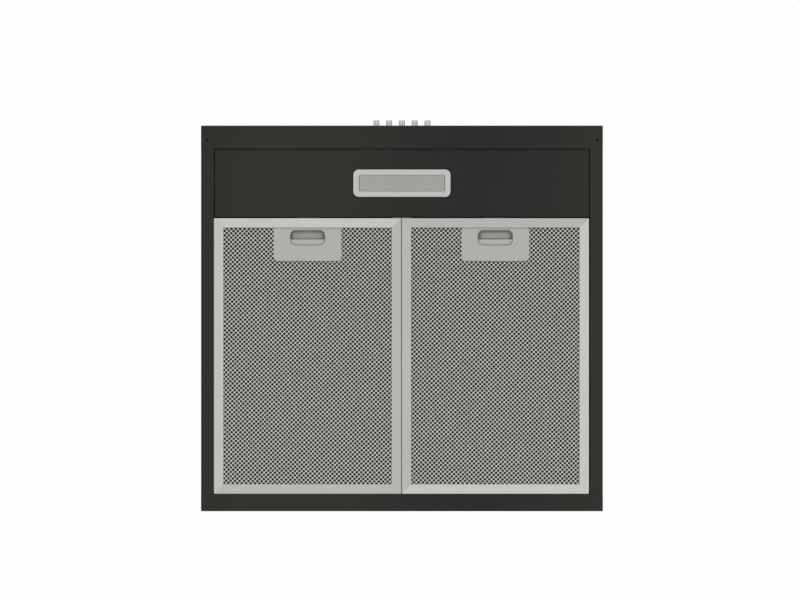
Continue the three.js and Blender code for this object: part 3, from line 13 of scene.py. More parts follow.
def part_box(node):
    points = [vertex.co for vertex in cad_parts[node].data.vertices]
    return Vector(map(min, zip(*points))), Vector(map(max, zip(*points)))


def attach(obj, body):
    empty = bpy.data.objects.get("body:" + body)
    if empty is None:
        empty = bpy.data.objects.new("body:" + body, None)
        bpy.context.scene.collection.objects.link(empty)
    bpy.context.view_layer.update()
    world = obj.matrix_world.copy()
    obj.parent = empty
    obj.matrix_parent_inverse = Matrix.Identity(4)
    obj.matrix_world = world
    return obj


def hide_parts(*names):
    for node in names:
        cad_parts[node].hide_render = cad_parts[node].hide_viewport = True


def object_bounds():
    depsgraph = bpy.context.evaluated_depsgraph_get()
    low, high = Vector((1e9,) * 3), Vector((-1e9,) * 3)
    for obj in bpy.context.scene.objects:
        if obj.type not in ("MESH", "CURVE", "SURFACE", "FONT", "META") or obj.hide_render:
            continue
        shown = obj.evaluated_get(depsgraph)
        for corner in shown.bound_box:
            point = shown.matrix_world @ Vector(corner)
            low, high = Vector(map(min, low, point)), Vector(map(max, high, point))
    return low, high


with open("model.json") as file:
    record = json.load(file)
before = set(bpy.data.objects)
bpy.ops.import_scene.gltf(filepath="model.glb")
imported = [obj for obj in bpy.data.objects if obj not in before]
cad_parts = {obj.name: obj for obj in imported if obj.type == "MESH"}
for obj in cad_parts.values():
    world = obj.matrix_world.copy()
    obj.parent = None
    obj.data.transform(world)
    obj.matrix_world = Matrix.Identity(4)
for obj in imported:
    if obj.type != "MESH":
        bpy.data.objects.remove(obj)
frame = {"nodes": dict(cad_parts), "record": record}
CAD_LOW, CAD_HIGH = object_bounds()

SIDES = ("left", "right")
BUTTONS = [f"button_{i}" for i in range(1, 6)]

# the expanded metal on both faces of a filter
MESH_CELL = 0.00389
MESH_STRAND = 0.00080
MESH_TURN = 1.15  # degrees past the diagonal
MESH_TILT = 0.00042  # how far a strand slopes through the sheet
MESH_CREST = 0.00022  # how far a knuckle stands out

# the coarser layers between the faces
PAD_CELL = 0.0052
PAD_STRAND = 0.0025
PAD_TILT = 0.0005
PAD_CREST = 0.0002
PAD_LAYERS = ((0.2, -7.0), (0.5, 21.0), (0.8, 13.0))  # share of the core's height, and turn

# the filters' frames and their middles
BORDER = 0.0116  # width of a frame's bars
TAB_REACH = 0.007  # of the tabs behind a frame
HALF_SPACING = 0.11684  # from the line between the filters to the middle of each
PAIR_MIDDLE = -0.0006  # X of the line between them

# the finger windows in the handles and the pockets behind them; the last three are places in Y
WINDOW_WIDTH = 0.0428
WINDOW_DEPTH = 0.0182
WINDOW_CORNER = 0.0064
HANDLE_FRONT = -0.1126
WINDOW_START = HANDLE_FRONT + 0.003
POCKET_REAR = WINDOW_START + 0.0113

# the view from below
VIEW_DISTANCE = 4.0
VIEW_WIDTH = 0.9953  # metres across the view at the underside
VIEW_MIDDLE = (-0.0024, -0.0229)
SENSOR_WIDTH = 36


# ------------------------------------------------------------------ finishes

class Value:
    """A socket of a finish's node tree. Arithmetic on it adds Math nodes."""

    def __init__(self, finish, socket):
        self.finish = finish
        self.socket = socket

    def math(self, operation, *others):
        sockets = dict(enumerate((self, *others)))
        return self.finish.node("ShaderNodeMath", {"operation": operation}, sockets)

    def __add__(self, other):
        return self.math("ADD", other)

    def __sub__(self, other):
        return self.math("SUBTRACT", other)

    def __rsub__(self, other):
        return self.finish.node("ShaderNodeMath", {"operation": "SUBTRACT"}, {0: other, 1: self})

    def __mul__(self, other):
        return self.math("MULTIPLY", other)

    __radd__ = __add__
    __rmul__ = __mul__

    def between(self, low, high):
        """0 below low, 1 above high and smooth between them."""
        settings = {"interpolation_type": "SMOOTHSTEP"}
        sockets = {"Value": self, "From Min": low, "From Max": high}
        return self.finish.node("ShaderNodeMapRange", settings, sockets)

    def clamped(self):
        """Held between 0 and 1."""
        settings = {"operation": "ADD", "use_clamp": True}
        return self.finish.node("ShaderNodeMath", settings, {0: self, 1: 0})


class Finish:
    """A material whose colour, roughness and relief come from nodes."""

    def __init__(self, name):
        self.material = bpy.data.materials.new(name)
        self.material.use_nodes = True
        self.tree = self.material.node_tree
        self.tree.nodes.clear()
        self.place = self.node("ShaderNodeTexCoord", output="Object")

    def node(self, kind, settings=None, sockets=None, output=0):
        """Adds a node: its settings first, then the values or links of its sockets."""
        made = self.tree.nodes.new(kind)
        for key, value in (settings or {}).items():
            setattr(made, key, value)
        for key, value in (sockets or {}).items():
            if isinstance(value, Value):
                self.tree.links.new(value.socket, made.inputs[key])
            else:
                made.inputs[key].default_value = value
        return Value(self, made.outputs[output])

    def noise(self, scale, detail=3, stretch=(1, 1, 1), roughness=0.5):
        """Cloudy noise from 0 to 1; the scale is in features per metre."""
        where = self.place
        if stretch != (1, 1, 1):
            where = self.node("ShaderNodeMapping", None, {"Vector": where, "Scale": stretch})
        sockets = {"Vector": where, "Scale": scale, "Detail": detail, "Roughness": roughness}
        return self.node("ShaderNodeTexNoise", None, sockets, "Fac")

    def axes(self):
        """The X, Y and Z of a point on the object."""
        return [self.node("ShaderNodeSeparateXYZ", None, {0: self.place}, i) for i in range(3)]

    def edges(self, reach):
        """Above 0 within a reach of an edge, more the sharper it turns."""
        rounded = self.node("ShaderNodeBevel", {"samples": 6}, {"Radius": reach})
        flat = self.node("ShaderNodeNewGeometry", output="Normal")
        settings = {"operation": "DOT_PRODUCT"}
        alike = self.node("ShaderNodeVectorMath", settings, {0: rounded, 1: flat}, "Value")
        return 1 - alike

    def levelness(self):
        """1 on faces that look straight up or down and 0 on upright ones."""
        facing = self.node("ShaderNodeTexCoord", output="Normal")
        return self.node("ShaderNodeSeparateXYZ", None, {0: facing}, 2).math("ABSOLUTE")

    def strands(self, cell, turn):
        """Two waves over a turned square lattice, each 1 along the strands of one way."""
        settings = {"vector_type": "POINT"}
        sockets = {"Vector": self.place, "Rotation": (0, 0, -math.radians(45 + turn))}
        turned = self.node("ShaderNodeMapping", settings, sockets)
        wave = [
            self.node("ShaderNodeSeparateXYZ", None, {0: turned}, axis) * (2 * math.pi / cell)
            for axis in (0, 1)
        ]
        return [value.math("COSINE") * 0.5 + 0.5 for value in wave]

    def inside_window(self, margin, fade):
        """1 inside the finger windows by more than the margin plus the fade, 0 nearer their edge."""
        x, y, _ = self.axes()
        middle_y = WINDOW_START + WINDOW_DEPTH / 2
        across = ((x - PAIR_MIDDLE).math("ABSOLUTE") - HALF_SPACING).math("ABSOLUTE")
        along = (y - middle_y).math("ABSOLUTE")
        beyond_x = (across - (WINDOW_WIDTH / 2 - WINDOW_CORNER)).math("MAXIMUM", 0)
        beyond_y = (along - (WINDOW_DEPTH / 2 - WINDOW_CORNER)).math("MAXIMUM", 0)
        reach = (beyond_x * beyond_x + beyond_y * beyond_y).math("SQRT")
        return 1 - reach.between(WINDOW_CORNER - margin - fade, WINDOW_CORNER - margin)

    def blend(self, share, first, second):
        """A colour between two colours."""
        settings = {"data_type": "RGBA"}
        sockets = {"Factor": share, 6: self.colour(first), 7: self.colour(second)}
        return self.node("ShaderNodeMix", settings, sockets, 2)

    @staticmethod
    def colour(value):
        """A linked colour as it is, or plain numbers with their opacity."""
        return value if isinstance(value, Value) else (*value, 1)

    def relief(self, height, depth, normal=None):
        """A bump of a real depth in metres."""
        sockets = {"Strength": 1.0, "Distance": depth, "Height": height}
        if normal:
            sockets["Normal"] = normal
        return self.node("ShaderNodeBump", None, sockets, "Normal")

    def surface(self, **sockets):
        """Closes the finish with its shader. Each name is a socket's, with _ for a space."""
        named = {key.replace("_", " "): value for key, value in sockets.items()}
        shader = self.node("ShaderNodeBsdfPrincipled", None, named)
        out = self.tree.nodes.new("ShaderNodeOutputMaterial")
        self.tree.links.new(shader.socket, out.inputs["Surface"])
        return self.material


def black_paint():
    """Stove enamel with a faint orange peel. A painted sheen drifts across X, bright olive to dark
    neutral.
    """
    f = Finish("black_paint")
    x, _, _ = f.axes()
    radians_per_metre = 14.3
    sheen_peak_place = -0.13
    peel = f.noise(900, 2)
    grain = f.noise(2600, 2)
    cloud = f.noise(14, 4)
    # painted sheen: a cosine across X brightens the paint towards its olive tone, with random cloud
    # mixed in
    sheen_and_cloud = ((x - sheen_peak_place) * radians_per_metre).math("COSINE") * 0.5 + 0.5
    sheen_and_cloud = (sheen_and_cloud + (cloud - 0.5) * 0.5).clamped()
    colour = f.blend(sheen_and_cloud, (0.0256, 0.0256, 0.0258), (0.0356, 0.0361, 0.0290))
    colour = f.blend(grain.between(0.55, 0.8) * 0.4, colour, (0.042, 0.042, 0.036))
    rubbed = f.edges(0.0012).between(0.03, 0.25) * cloud.between(0.4, 0.6)
    colour = f.blend(rubbed * 0.4, colour, (0.085, 0.085, 0.080))
    roughness = 0.54 + f.noise(60, 4) * 0.12
    normal = f.relief(peel, 0.00001)
    return f.surface(Base_Color=colour, Roughness=roughness, Normal=normal,
                     Specular_IOR_Level=0.1)


def galvanised_steel():
    """Zinc coating with its crystals and a dull bloom."""
    f = Finish("galvanised_steel")
    cells = f.node("ShaderNodeTexVoronoi", {"feature": "F1"},
                   {"Vector": f.place, "Scale": 160.0}, "Color")
    tone = f.node("ShaderNodeSeparateColor", None, {0: cells}, 0)
    cloud = f.noise(40, 4)
    colour = f.blend(tone, (0.36, 0.37, 0.38), (0.52, 0.53, 0.53))
    colour = f.blend(cloud * 0.5, colour, (0.42, 0.42, 0.41))
    return f.surface(Base_Color=colour, Metallic=0.85, Roughness=0.32 + tone * 0.2,
                     Normal=f.relief(f.noise(900, 2), 0.000006))


def brushed_aluminium(name, low, high, bar_sheen):
    """Aluminium strip brushed along each bar of a frame.

    The low and high corners are the frame's. The bar sheen, from 0 to 1, is the painted sheen of the
    left, right, front and rear bars. The mesh behind prints through the inner part of each bar.
    """
    f = Finish(name)
    x, y, _ = f.axes()
    right = (x - (low.x + high.x) / 2).between(-0.001, 0.001)
    rear = (y - (low.y + high.y) / 2).between(-0.001, 0.001)
    side_inset = (x - low.x).math("MINIMUM", high.x - x)
    end_inset = (y - low.y).math("MINIMUM", high.y - y)
    crossing = side_inset - end_inset
    is_end_bar = crossing.between(-0.00005, 0.00005)
    fine, long = 1900, 24  # streaks per metre across the brushing, and along it
    along_y = f.noise(1.0, 3, (fine, long, fine), 0.6)
    along_x = f.noise(1.0, 3, (long, fine, fine), 0.6)
    streaks = along_y + (along_x - along_y) * is_end_bar
    # painted sheen: each bar is drawn lighter or darker as light falls on it
    side_sheen = bar_sheen["left"] + right * (bar_sheen["right"] - bar_sheen["left"])
    end_sheen = bar_sheen["front"] + rear * (bar_sheen["rear"] - bar_sheen["front"])
    tone = side_sheen + (end_sheen - side_sheen) * is_end_bar
    tone = tone + (streaks - 0.5) * 0.55 + (f.noise(9, 2) - 0.5) * 0.25
    colour = f.blend(tone.clamped(), (0.530, 0.525, 0.500), (0.725, 0.719, 0.690))
    # painted shade: the upright faces of the bars are coloured dark
    colour = f.blend(f.levelness().between(0.3, 0.9), (0.14, 0.14, 0.13), colour)
    # painted shade: the tabs at the frame's rear are coloured almost black
    tabs = (y - high.y).between(0.0, 0.0003)
    colour = f.blend(tabs, colour, (0.04, 0.04, 0.04))
    mitre = 1 - crossing.math("ABSOLUTE").between(0.00005, 0.0002)
    colour = f.blend(mitre * 0.12, colour, (0.25, 0.25, 0.24))
    inset = side_inset.math("MINIMUM", end_inset)
    rising, falling = f.strands(MESH_CELL, MESH_TURN)
    printed = rising * falling * inset.between(0.0045, 0.0085)
    normal = f.relief(streaks, 0.000012, f.relief(printed, 0.00006))
    return f.surface(Base_Color=colour, Metallic=0.9, Roughness=0.34 + streaks * 0.16,
                     Normal=normal)


def expanded_aluminium(name, cell, turn, bright, dull, metallic):
    """Slit and stretched aluminium with painted light: highlights on the knuckles, strands lit
    brighter one way.
    """
    f = Finish(name)
    rising, falling = f.strands(cell, turn)
    patch = f.noise(260, 3)
    grain = f.noise(3000, 2)
    # painted highlight on the knuckles and painted light on the strands of one way, between the dull
    # painted shade and the bright colour; patch and grain are random tone
    share = 0.42 + (rising - falling) * 0.08 + rising * falling * 0.45 + (patch - 0.5) * 0.6
    share = (share + (grain - 0.5) * 0.3).clamped()
    colour = f.blend(share, dull, bright)
    return f.surface(Base_Color=colour, Metallic=metallic, Roughness=0.5 - share * 0.14,
                     Normal=f.relief(grain, 0.00002))


def moulded(name, dark, light, roughness, grain_scale, grain_depth, specular=0.5, metallic=0.0):
    """Moulded plastic: an even colour with a fine sparked grain and faint flow marks."""
    f = Finish(name)
    flow = f.noise(22, 4)
    grain = f.noise(grain_scale, 2)
    colour = f.blend(flow * 0.75 + grain * 0.25, dark, light)
    return f.surface(Base_Color=colour, Roughness=roughness + (grain - 0.5) * 0.14,
                     Metallic=metallic, Specular_IOR_Level=specular,
                     Normal=f.relief(grain, grain_depth))


def handle_plastic():
    """Grey moulded plastic, with painted shade along the frame, round the finger window and on the
    tongue.
    """
    f = Finish("handle_plastic")
    _, y, _ = f.axes()
    cloud = f.noise(40, 3)
    grain = f.noise(1600, 2)
    colour = f.blend(cloud * 0.6 + grain * 0.4, (0.495, 0.490, 0.465), (0.530, 0.525, 0.500))
    # painted shade: a dark ring round the finger window's edge
    rim = f.inside_window(-0.0012, 0.0006) - f.inside_window(0.0004, 0.0006)
    colour = f.blend(rim * 0.6, colour, (0.22, 0.22, 0.21))
    # painted shadow: a darker band where the handle runs under the frame
    front = 1 - (y - HANDLE_FRONT).between(0.0014, 0.0028)
    colour = f.blend(front * 0.35, colour, (0.30, 0.30, 0.285))
    # painted shade: the tongue at the front is coloured almost black
    tongue = 1 - (y - HANDLE_FRONT).between(-0.0125, -0.0118)
    colour = f.blend(tongue, colour, (0.025, 0.025, 0.025))
    return f.surface(Base_Color=colour, Roughness=0.5 + grain * 0.1, Specular_IOR_Level=0.35,
                     Normal=f.relief(grain, 0.000016))


def pocket_plastic():
    """The scoop behind a finger window, with painted shade darker towards its edges and beside the
    latch's lip.
    """
    f = Finish("pocket_plastic")
    _, y, _ = f.axes()
    cloud = f.noise(60, 3)
    grain = f.noise(1600, 2)
    colour = f.blend(cloud * 0.6 + grain * 0.4, (0.450, 0.450, 0.388), (0.488, 0.488, 0.424))
    # painted shade: darker towards the window's edges
    colour = f.blend(f.inside_window(0.0006, 0.0055), (0.275, 0.275, 0.240), colour)
    # painted shadow: a darker band along the latch's lip
    lip_shade = (y - POCKET_REAR).between(-0.0020, -0.0006)
    colour = f.blend(lip_shade * 0.7, colour, (0.18, 0.18, 0.16))
    return f.surface(Base_Color=colour, Roughness=0.6 + grain * 0.1, Specular_IOR_Level=0.25,
                     Normal=f.relief(grain, 0.00002))


def button_plastic():
    """Pale satin plastic, with painted shade greying both sides of each button."""
    f = Finish("button_plastic")
    grain = f.noise(2400, 2)
    cloud = f.noise(120, 3)
    colour = f.blend(cloud * 0.6 + grain * 0.4, (0.900, 0.900, 0.885), (0.935, 0.935, 0.920))
    # painted shade: darker wherever the plastic does not face straight up or down
    colour = f.blend(f.levelness().between(0.3, 0.85), (0.22, 0.22, 0.21), colour)
    return f.surface(Base_Color=colour, Metallic=0.1, Roughness=0.36 + cloud * 0.06,
                     Normal=f.relief(grain, 0.000008))


def frosted_lens():
    """Frosted clear plastic over an unlit lamp: grey, darker between its ribs."""
    f = Finish("frosted_lens")
    frost = f.noise(1800, 2)
    cloud = f.noise(30, 3)
    colour = f.blend(cloud * 0.6 + frost * 0.4, (0.385, 0.382, 0.364), (0.455, 0.452, 0.432))
    return f.surface(Base_Color=colour, Roughness=0.42 + frost * 0.15, Specular_IOR_Level=0.4,
                     Normal=f.relief(frost, 0.000012))


def turned_steel(name, dark, light, roughness):
    """Machined steel with fine tool marks."""
    f = Finish(name)
    marks = f.noise(1.0, 2, (900, 900, 5200))
    cloud = f.noise(120, 3)
    colour = f.blend(cloud, dark, light)
    return f.surface(Base_Color=colour, Metallic=0.95, Roughness=roughness + marks * 0.14,
                     Normal=f.relief(marks, 0.00001))


def motor_steel():
    """A pressed motor can: grey lacquer with the edges of its laminations."""
    f = Finish("motor_steel")
    _, _, z = f.axes()
    sheet_pitch = 0.0013
    layers = (z * (2 * math.pi / sheet_pitch)).math("SINE")
    band = z.between(-0.0400, -0.0395) * (1 - z.between(-0.0145, -0.0140))
    cloud = f.noise(45, 4)
    colour = f.blend(cloud, (0.24, 0.245, 0.25), (0.33, 0.335, 0.34))
    colour = f.blend(band * (0.5 + layers * 0.3), colour, (0.12, 0.12, 0.12))
    return f.surface(Base_Color=colour, Metallic=0.6, Roughness=0.4 + cloud * 0.15,
                     Normal=f.relief(layers * band, 0.00012))


def lead_sheath():
    """Black flexible sheath with a matt skin."""
    f = Finish("lead_sheath")
    skin = f.noise(2600, 2)
    colour = f.blend(f.noise(60, 3), (0.018, 0.018, 0.018), (0.034, 0.034, 0.033))
    return f.surface(Base_Color=colour, Roughness=0.5 + skin * 0.2, Normal=f.relief(skin, 0.00002))


FINISH = {
    "black_paint": black_paint(),
    "galvanised_steel": galvanised_steel(),
    "handle_plastic": handle_plastic(),
    "pocket_plastic": pocket_plastic(),
    "silver_plastic": moulded("silver_plastic", (0.590, 0.585, 0.560), (0.660, 0.655, 0.630),
                              0.34, 2400, 0.000008, metallic=0.3),
    "button_plastic": button_plastic(),
    "frosted_lens": frosted_lens(),
    "white_plastic": moulded("white_plastic", (0.70, 0.70, 0.67), (0.80, 0.80, 0.77),
                             0.42, 1200, 0.00002),
    "white_board": moulded("white_board", (0.74, 0.74, 0.70), (0.84, 0.84, 0.80),
                           0.5, 3000, 0.00001),
    "black_plastic": moulded("black_plastic", (0.016, 0.016, 0.017), (0.028, 0.028, 0.028),
                             0.52, 1400, 0.00003, 0.4),
    "black_rubber": moulded("black_rubber", (0.013, 0.013, 0.013), (0.022, 0.022, 0.021),
                            0.7, 900, 0.00003, 0.3),
    "motor_steel": motor_steel(),
    "bright_steel": turned_steel("bright_steel", (0.40, 0.40, 0.40), (0.56, 0.56, 0.55), 0.24),
    "black_screw": turned_steel("black_screw", (0.008, 0.008, 0.008), (0.018, 0.018, 0.017), 0.45),
    "capacitor_can": moulded("capacitor_can", (0.52, 0.52, 0.51), (0.62, 0.62, 0.60),
                             0.35, 800, 0.00002),
    "lead_sheath": lead_sheath(),
    "expanded_aluminium": expanded_aluminium(
        "expanded_aluminium", MESH_CELL, MESH_TURN, (0.94, 0.93, 0.90), (0.29, 0.285, 0.27), 0.8),
    # painted shade: the inner layers, aluminium like the faces, are coloured almost black
    "pad_layer": expanded_aluminium(
        "pad_layer", PAD_CELL, 0, (0.046, 0.045, 0.043), (0.014, 0.014, 0.013), 0.6),
}

# the material slot and the body of each CAD node
SLOT = {row["node"]: row["material_slot"] for row in frame["record"]["subparts"]}
BODY = {
    node: body
    for body, nodes in frame["record"]["behaviour"]["bodies"].items()
    for node in nodes
}


# ------------------------------------------------------------------ shape helpers

def finished(bm, name, body, slot, material=None, nodes=()):
    """Turns a bmesh into a piece that rides on a body and stands for CAD nodes."""
    mesh = bpy.data.meshes.new(name)
    bm.to_mesh(mesh)
    bm.free()
    piece = bpy.data.objects.new(name, mesh)
    bpy.context.scene.collection.objects.link(piece)
    mesh.materials.append(material or FINISH[slot])
    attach(piece, body)
    if nodes:
        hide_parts(*nodes)
    return piece


def shade(bm, sharp_angle=32):
    """Smooth faces, with a crease wherever the surface turns by more than the angle."""
    limit = math.radians(sharp_angle)
    for face in bm.faces:
        face.smooth = True
    for edge in bm.edges:
        edge.smooth = len(edge.link_faces) == 2 and edge.calc_face_angle(0) < limit


def soften(bm, width, segments=2):
    """Rounds every edge where the surface turns by more than 35 degrees."""
    limit = math.radians(35)
    edges = [e for e in bm.edges if len(e.link_faces) == 2 and e.calc_face_angle(0) > limit]
    if edges:
        bmesh.ops.bevel(bm, geom=edges, offset=width, offset_type="OFFSET", segments=segments,
                        profile=0.5, affect="EDGES", clamp_overlap=True, material=-1,
                        loop_slide=True)


def even_shading(piece):
    """Lets the large flat faces set the shading, so that rounded edges stay narrow."""
    weighted = piece.modifiers.new("even shading", "WEIGHTED_NORMAL")
    weighted.keep_sharp = True


def merged_copy(node):
    """A bmesh of a CAD node with its loose triangles joined and its flat faces whole."""
    bm = bmesh.new()
    bm.from_mesh(frame["nodes"][node].data)
    bmesh.ops.remove_doubles(bm, verts=bm.verts, dist=0.000004)
    bmesh.ops.dissolve_limit(bm, angle_limit=math.radians(0.6), verts=bm.verts, edges=bm.edges)
    return bm


def dressed(node, width=0.00025, segments=2, material=None):
    """A CAD node with rounded edges and its finish."""
    bm = merged_copy(node)
    soften(bm, width, segments)
    bmesh.ops.triangulate(bm, faces=[f for f in bm.faces if len(f.verts) > 4])
    shade(bm)
    even_shading(finished(bm, f"{node}_piece", BODY[node], SLOT[node], material, [node]))


def place_of(node):
    """The lowest corner, highest corner and middle of a CAD node."""
    low, high = (Vector(corner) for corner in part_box(node))
    return low, high, (low + high) / 2


# ------------------------------------------------------------------ view and light

def camera_below():
    """Looks straight up at the underside, with the front edge at the top of the view."""
    camera = bpy.data.cameras.new("camera")
    camera.sensor_width = SENSOR_WIDTH
    camera.lens = SENSOR_WIDTH * VIEW_DISTANCE / VIEW_WIDTH
    camera.clip_end = 100
    holder = bpy.data.objects.new("camera", camera)
    bpy.context.scene.collection.objects.link(holder)
    underside = CAD_LOW[2]
    holder.location = (*VIEW_MIDDLE, underside - VIEW_DISTANCE)
    holder.rotation_euler = (math.pi, 0, 0)
    bpy.context.scene.camera = holder


def soft_light():
    """One large soft lamp, up and to the left in front, aimed at the hood."""
    lamp = bpy.data.lights.new("lamp_above", "AREA")
    lamp.size = 2.4
    lamp.energy = 60
    holder = bpy.data.objects.new("lamp_above", lamp)
    bpy.context.scene.collection.objects.link(holder)
    place = Vector((-1.6, -2.2, 2.6))
    holder.location = place
    holder.rotation_mode = "QUATERNION"
    holder.rotation_quaternion = (-place).to_track_quat("-Z", "Y")
    holder.visible_camera = False


def studio():
    """A white surround, a pale floor far below and a large soft lamp."""
    floor_half_width = 120
    floor_height = -9
    scene = bpy.context.scene
    scene.view_settings.view_transform = "Standard"
    world = bpy.data.worlds.new("studio")
    scene.world = world
    world.use_nodes = True
    background = world.node_tree.nodes["Background"]
    background.inputs["Color"].default_value = (1, 1, 1, 1)
    background.inputs["Strength"].default_value = 0.99
    soft_light()
    bm = bmesh.new()
    bmesh.ops.create_grid(bm, x_segments=1, y_segments=1, size=floor_half_width)
    bmesh.ops.translate(bm, verts=bm.verts, vec=(0, 0, floor_height))
    mesh = bpy.data.meshes.new("floor")
    bm.to_mesh(mesh)
    bm.free()
    floor = bpy.data.objects.new("floor", mesh)
    scene.collection.objects.link(floor)
    f = Finish("floor")
    tone = f.blend(f.noise(0.6, 3), (0.80, 0.80, 0.80), (0.84, 0.84, 0.84))
    mesh.materials.append(f.surface(Base_Color=tone, Roughness=0.9))


# ------------------------------------------------------------------ filters

def near(point, low, high, margin=0.0):
    """Whether a point is between two corners in plan, or within the margin of that."""
    return (low.x - margin < point.x < high.x + margin
            and low.y - margin < point.y < high.y + margin)


def diamond_layer(low, high, height, cell, strand, turn, tilt, crest, hollow=None):
    """An expanded-metal sheet: a grid turned past the diagonal, with a hole in each cell.

    The strands slope through the sheet by the tilt, and the knuckles where they cross stand
    out by the crest. The hollow, between two corners, is left open.
    """
    bm = bmesh.new()
    middle = (low + high) / 2
    spin = Matrix.Rotation(math.radians(45 + turn), 3, "Z")
    on_grid = spin.inverted() @ middle
    nearest = spin @ Vector((round(on_grid.x / cell) * cell, round(on_grid.y / cell) * cell, 0))
    span = high - low
    count = 2 * math.ceil((span.x + span.y) / math.sqrt(2) / cell / 2 + 1)
    bmesh.ops.create_grid(bm, x_segments=count, y_segments=count, size=count * cell / 2)
    bmesh.ops.rotate(bm, verts=bm.verts, cent=(0, 0, 0), matrix=spin)
    bmesh.ops.translate(bm, verts=bm.verts, vec=(nearest.x, nearest.y, height))
    outside = [f for f in bm.faces if not near(f.calc_center_median(), low, high, cell)]
    bmesh.ops.delete(bm, geom=outside, context="FACES")
    crossings = list(bm.verts)
    holes = list(bm.faces)
    bmesh.ops.inset_individual(bm, faces=holes, thickness=strand / 2, use_even_offset=True)
    half_diagonal = cell / math.sqrt(2)
    for hole in holes:
        centre = hole.calc_center_median()
        for vert in hole.verts:
            vert.co.z += tilt * (vert.co.y - centre.y) / half_diagonal
    bmesh.ops.delete(bm, geom=holes, context="FACES_ONLY")
    for vert in crossings:
        vert.co.z -= crest
    cuts = ((low, (-1, 0, 0)), (low, (0, -1, 0)), (high, (1, 0, 0)), (high, (0, 1, 0)))
    for corner, way in cuts:
        whole = bm.verts[:] + bm.edges[:] + bm.faces[:]
        bmesh.ops.bisect_plane(bm, geom=whole, plane_co=corner, plane_no=way, clear_outer=True)
    if hollow:
        gone = [f for f in bm.faces if near(f.calc_center_median(), *hollow)]
        bmesh.ops.delete(bm, geom=gone, context="FACES")
    loose = [v for v in bm.verts if not v.link_faces]
    bmesh.ops.delete(bm, geom=loose, context="VERTS")
    return bm


def sheet_piece(bm, name, body, slot, material, nodes, thickness):
    """An expanded-metal layer with its sheet's thickness."""
    shade(bm, 75)
    piece = finished(bm, name, body, slot, material, nodes)
    wall = piece.modifiers.new("sheet", "SOLIDIFY")
    wall.thickness = thickness
    wall.offset = 0


def filter_mesh(side):
    """The bright outer face, three inner layers coloured dark as painted shade, and the back of one
    filter.
    """
    body = f"filter_{side}"
    face = f"filter_face_mesh_{side}"
    core = f"filter_core_{side}"
    back = f"filter_back_mesh_{side}"
    frame_low, frame_high, _ = place_of(f"filter_frame_{side}")
    tray_low, tray_high, _ = place_of(f"latch_tray_{side}")
    hidden_by_frame = 0.003
    set_in = BORDER - hidden_by_frame
    low = frame_low + Vector((set_in, set_in, 0))
    high = frame_high - Vector((set_in, set_in + TAB_REACH, 0))
    clearance = Vector((0.0008, 0.0008, 0))
    hollow = (tray_low - clearance, tray_high + clearance)
    bright = FINISH["expanded_aluminium"]
    weave = (MESH_CELL, MESH_STRAND, MESH_TURN, MESH_TILT)
    height = place_of(face)[0].z + 0.0005
    bm = diamond_layer(low, high, height, *weave, MESH_CREST, hollow)
    sheet_piece(bm, f"filter_face_{side}", body, SLOT[face], bright, [face], 0.00035)
    core_low, core_high, _ = place_of(core)
    for i, (share, turn) in enumerate(PAD_LAYERS):
        height = core_low.z + (core_high.z - core_low.z) * share
        weave_inside = (PAD_CELL, PAD_STRAND, turn, PAD_TILT, PAD_CREST)
        bm = diamond_layer(low, high, height, *weave_inside, hollow)
        stands_for = [core] if i == 0 else []
        sheet_piece(bm, f"filter_pad_{i + 1}_{side}", body, SLOT[core], FINISH["pad_layer"],
                    stands_for, 0.0003)
    height = place_of(back)[2].z
    bm = diamond_layer(low, high, height, *weave, -MESH_CREST)
    sheet_piece(bm, f"filter_back_{side}", body, SLOT[back], bright, [back], 0.0003)


# painted sheen: how bright each bar of each filter's frame is drawn, from 0 to 1
BAR_SHEEN = {
    "left": {"left": 0.60, "right": 0.18, "front": 0.72, "rear": 0.28},
    "right": {"left": 0.25, "right": 0.80, "front": 0.15, "rear": 0.83},
}


def filter_frame(side):
    """The frame: round corners in plan, a pressed line round its face, brushed bars."""
    node = f"filter_frame_{side}"
    low, high, _ = place_of(node)
    high.y -= TAB_REACH
    corner_radius = 0.0009
    line_inset = 0.0033
    line_depth = 0.0001
    line_half_width = 0.0003
    close = 1e-5
    bm = merged_copy(node)
    upright = []
    for edge in bm.edges:
        ends = [vert.co for vert in edge.verts]
        at_side = all(min(abs(p.x - low.x), abs(p.x - high.x)) < close for p in ends)
        at_end = all(min(abs(p.y - low.y), abs(p.y - high.y)) < close for p in ends)
        if at_side and at_end and abs(ends[0].z - ends[1].z) > 1e-4:
            upright.append(edge)
    bmesh.ops.bevel(bm, geom=upright, offset=corner_radius, offset_type="OFFSET", segments=5,
                    profile=0.5, affect="EDGES", material=-1)
    soften(bm, 0.0003, 3)
    for inset in (line_inset - line_half_width, line_inset, line_inset + line_half_width):
        shift = Vector((inset, inset, 0))
        for place in (low + shift, high - shift):
            for way in ((1, 0, 0), (0, 1, 0)):
                whole = bm.verts[:] + bm.edges[:] + bm.faces[:]
                bmesh.ops.bisect_plane(bm, geom=whole, plane_co=place, plane_no=way)
    for vert in bm.verts:
        point = vert.co
        inset = min(point.x - low.x, high.x - point.x, point.y - low.y, high.y - point.y)
        on_line = abs(inset - line_inset) < close
        if on_line and abs(point.z - low.z) < close:
            point.z += line_depth
    bmesh.ops.triangulate(bm, faces=[f for f in bm.faces if len(f.verts) > 4])
    shade(bm, 50)
    finish = brushed_aluminium(f"brushed_aluminium_{side}", low, high, BAR_SHEEN[side])
    even_shading(finished(bm, f"{node}_piece", BODY[node], SLOT[node], finish, [node]))


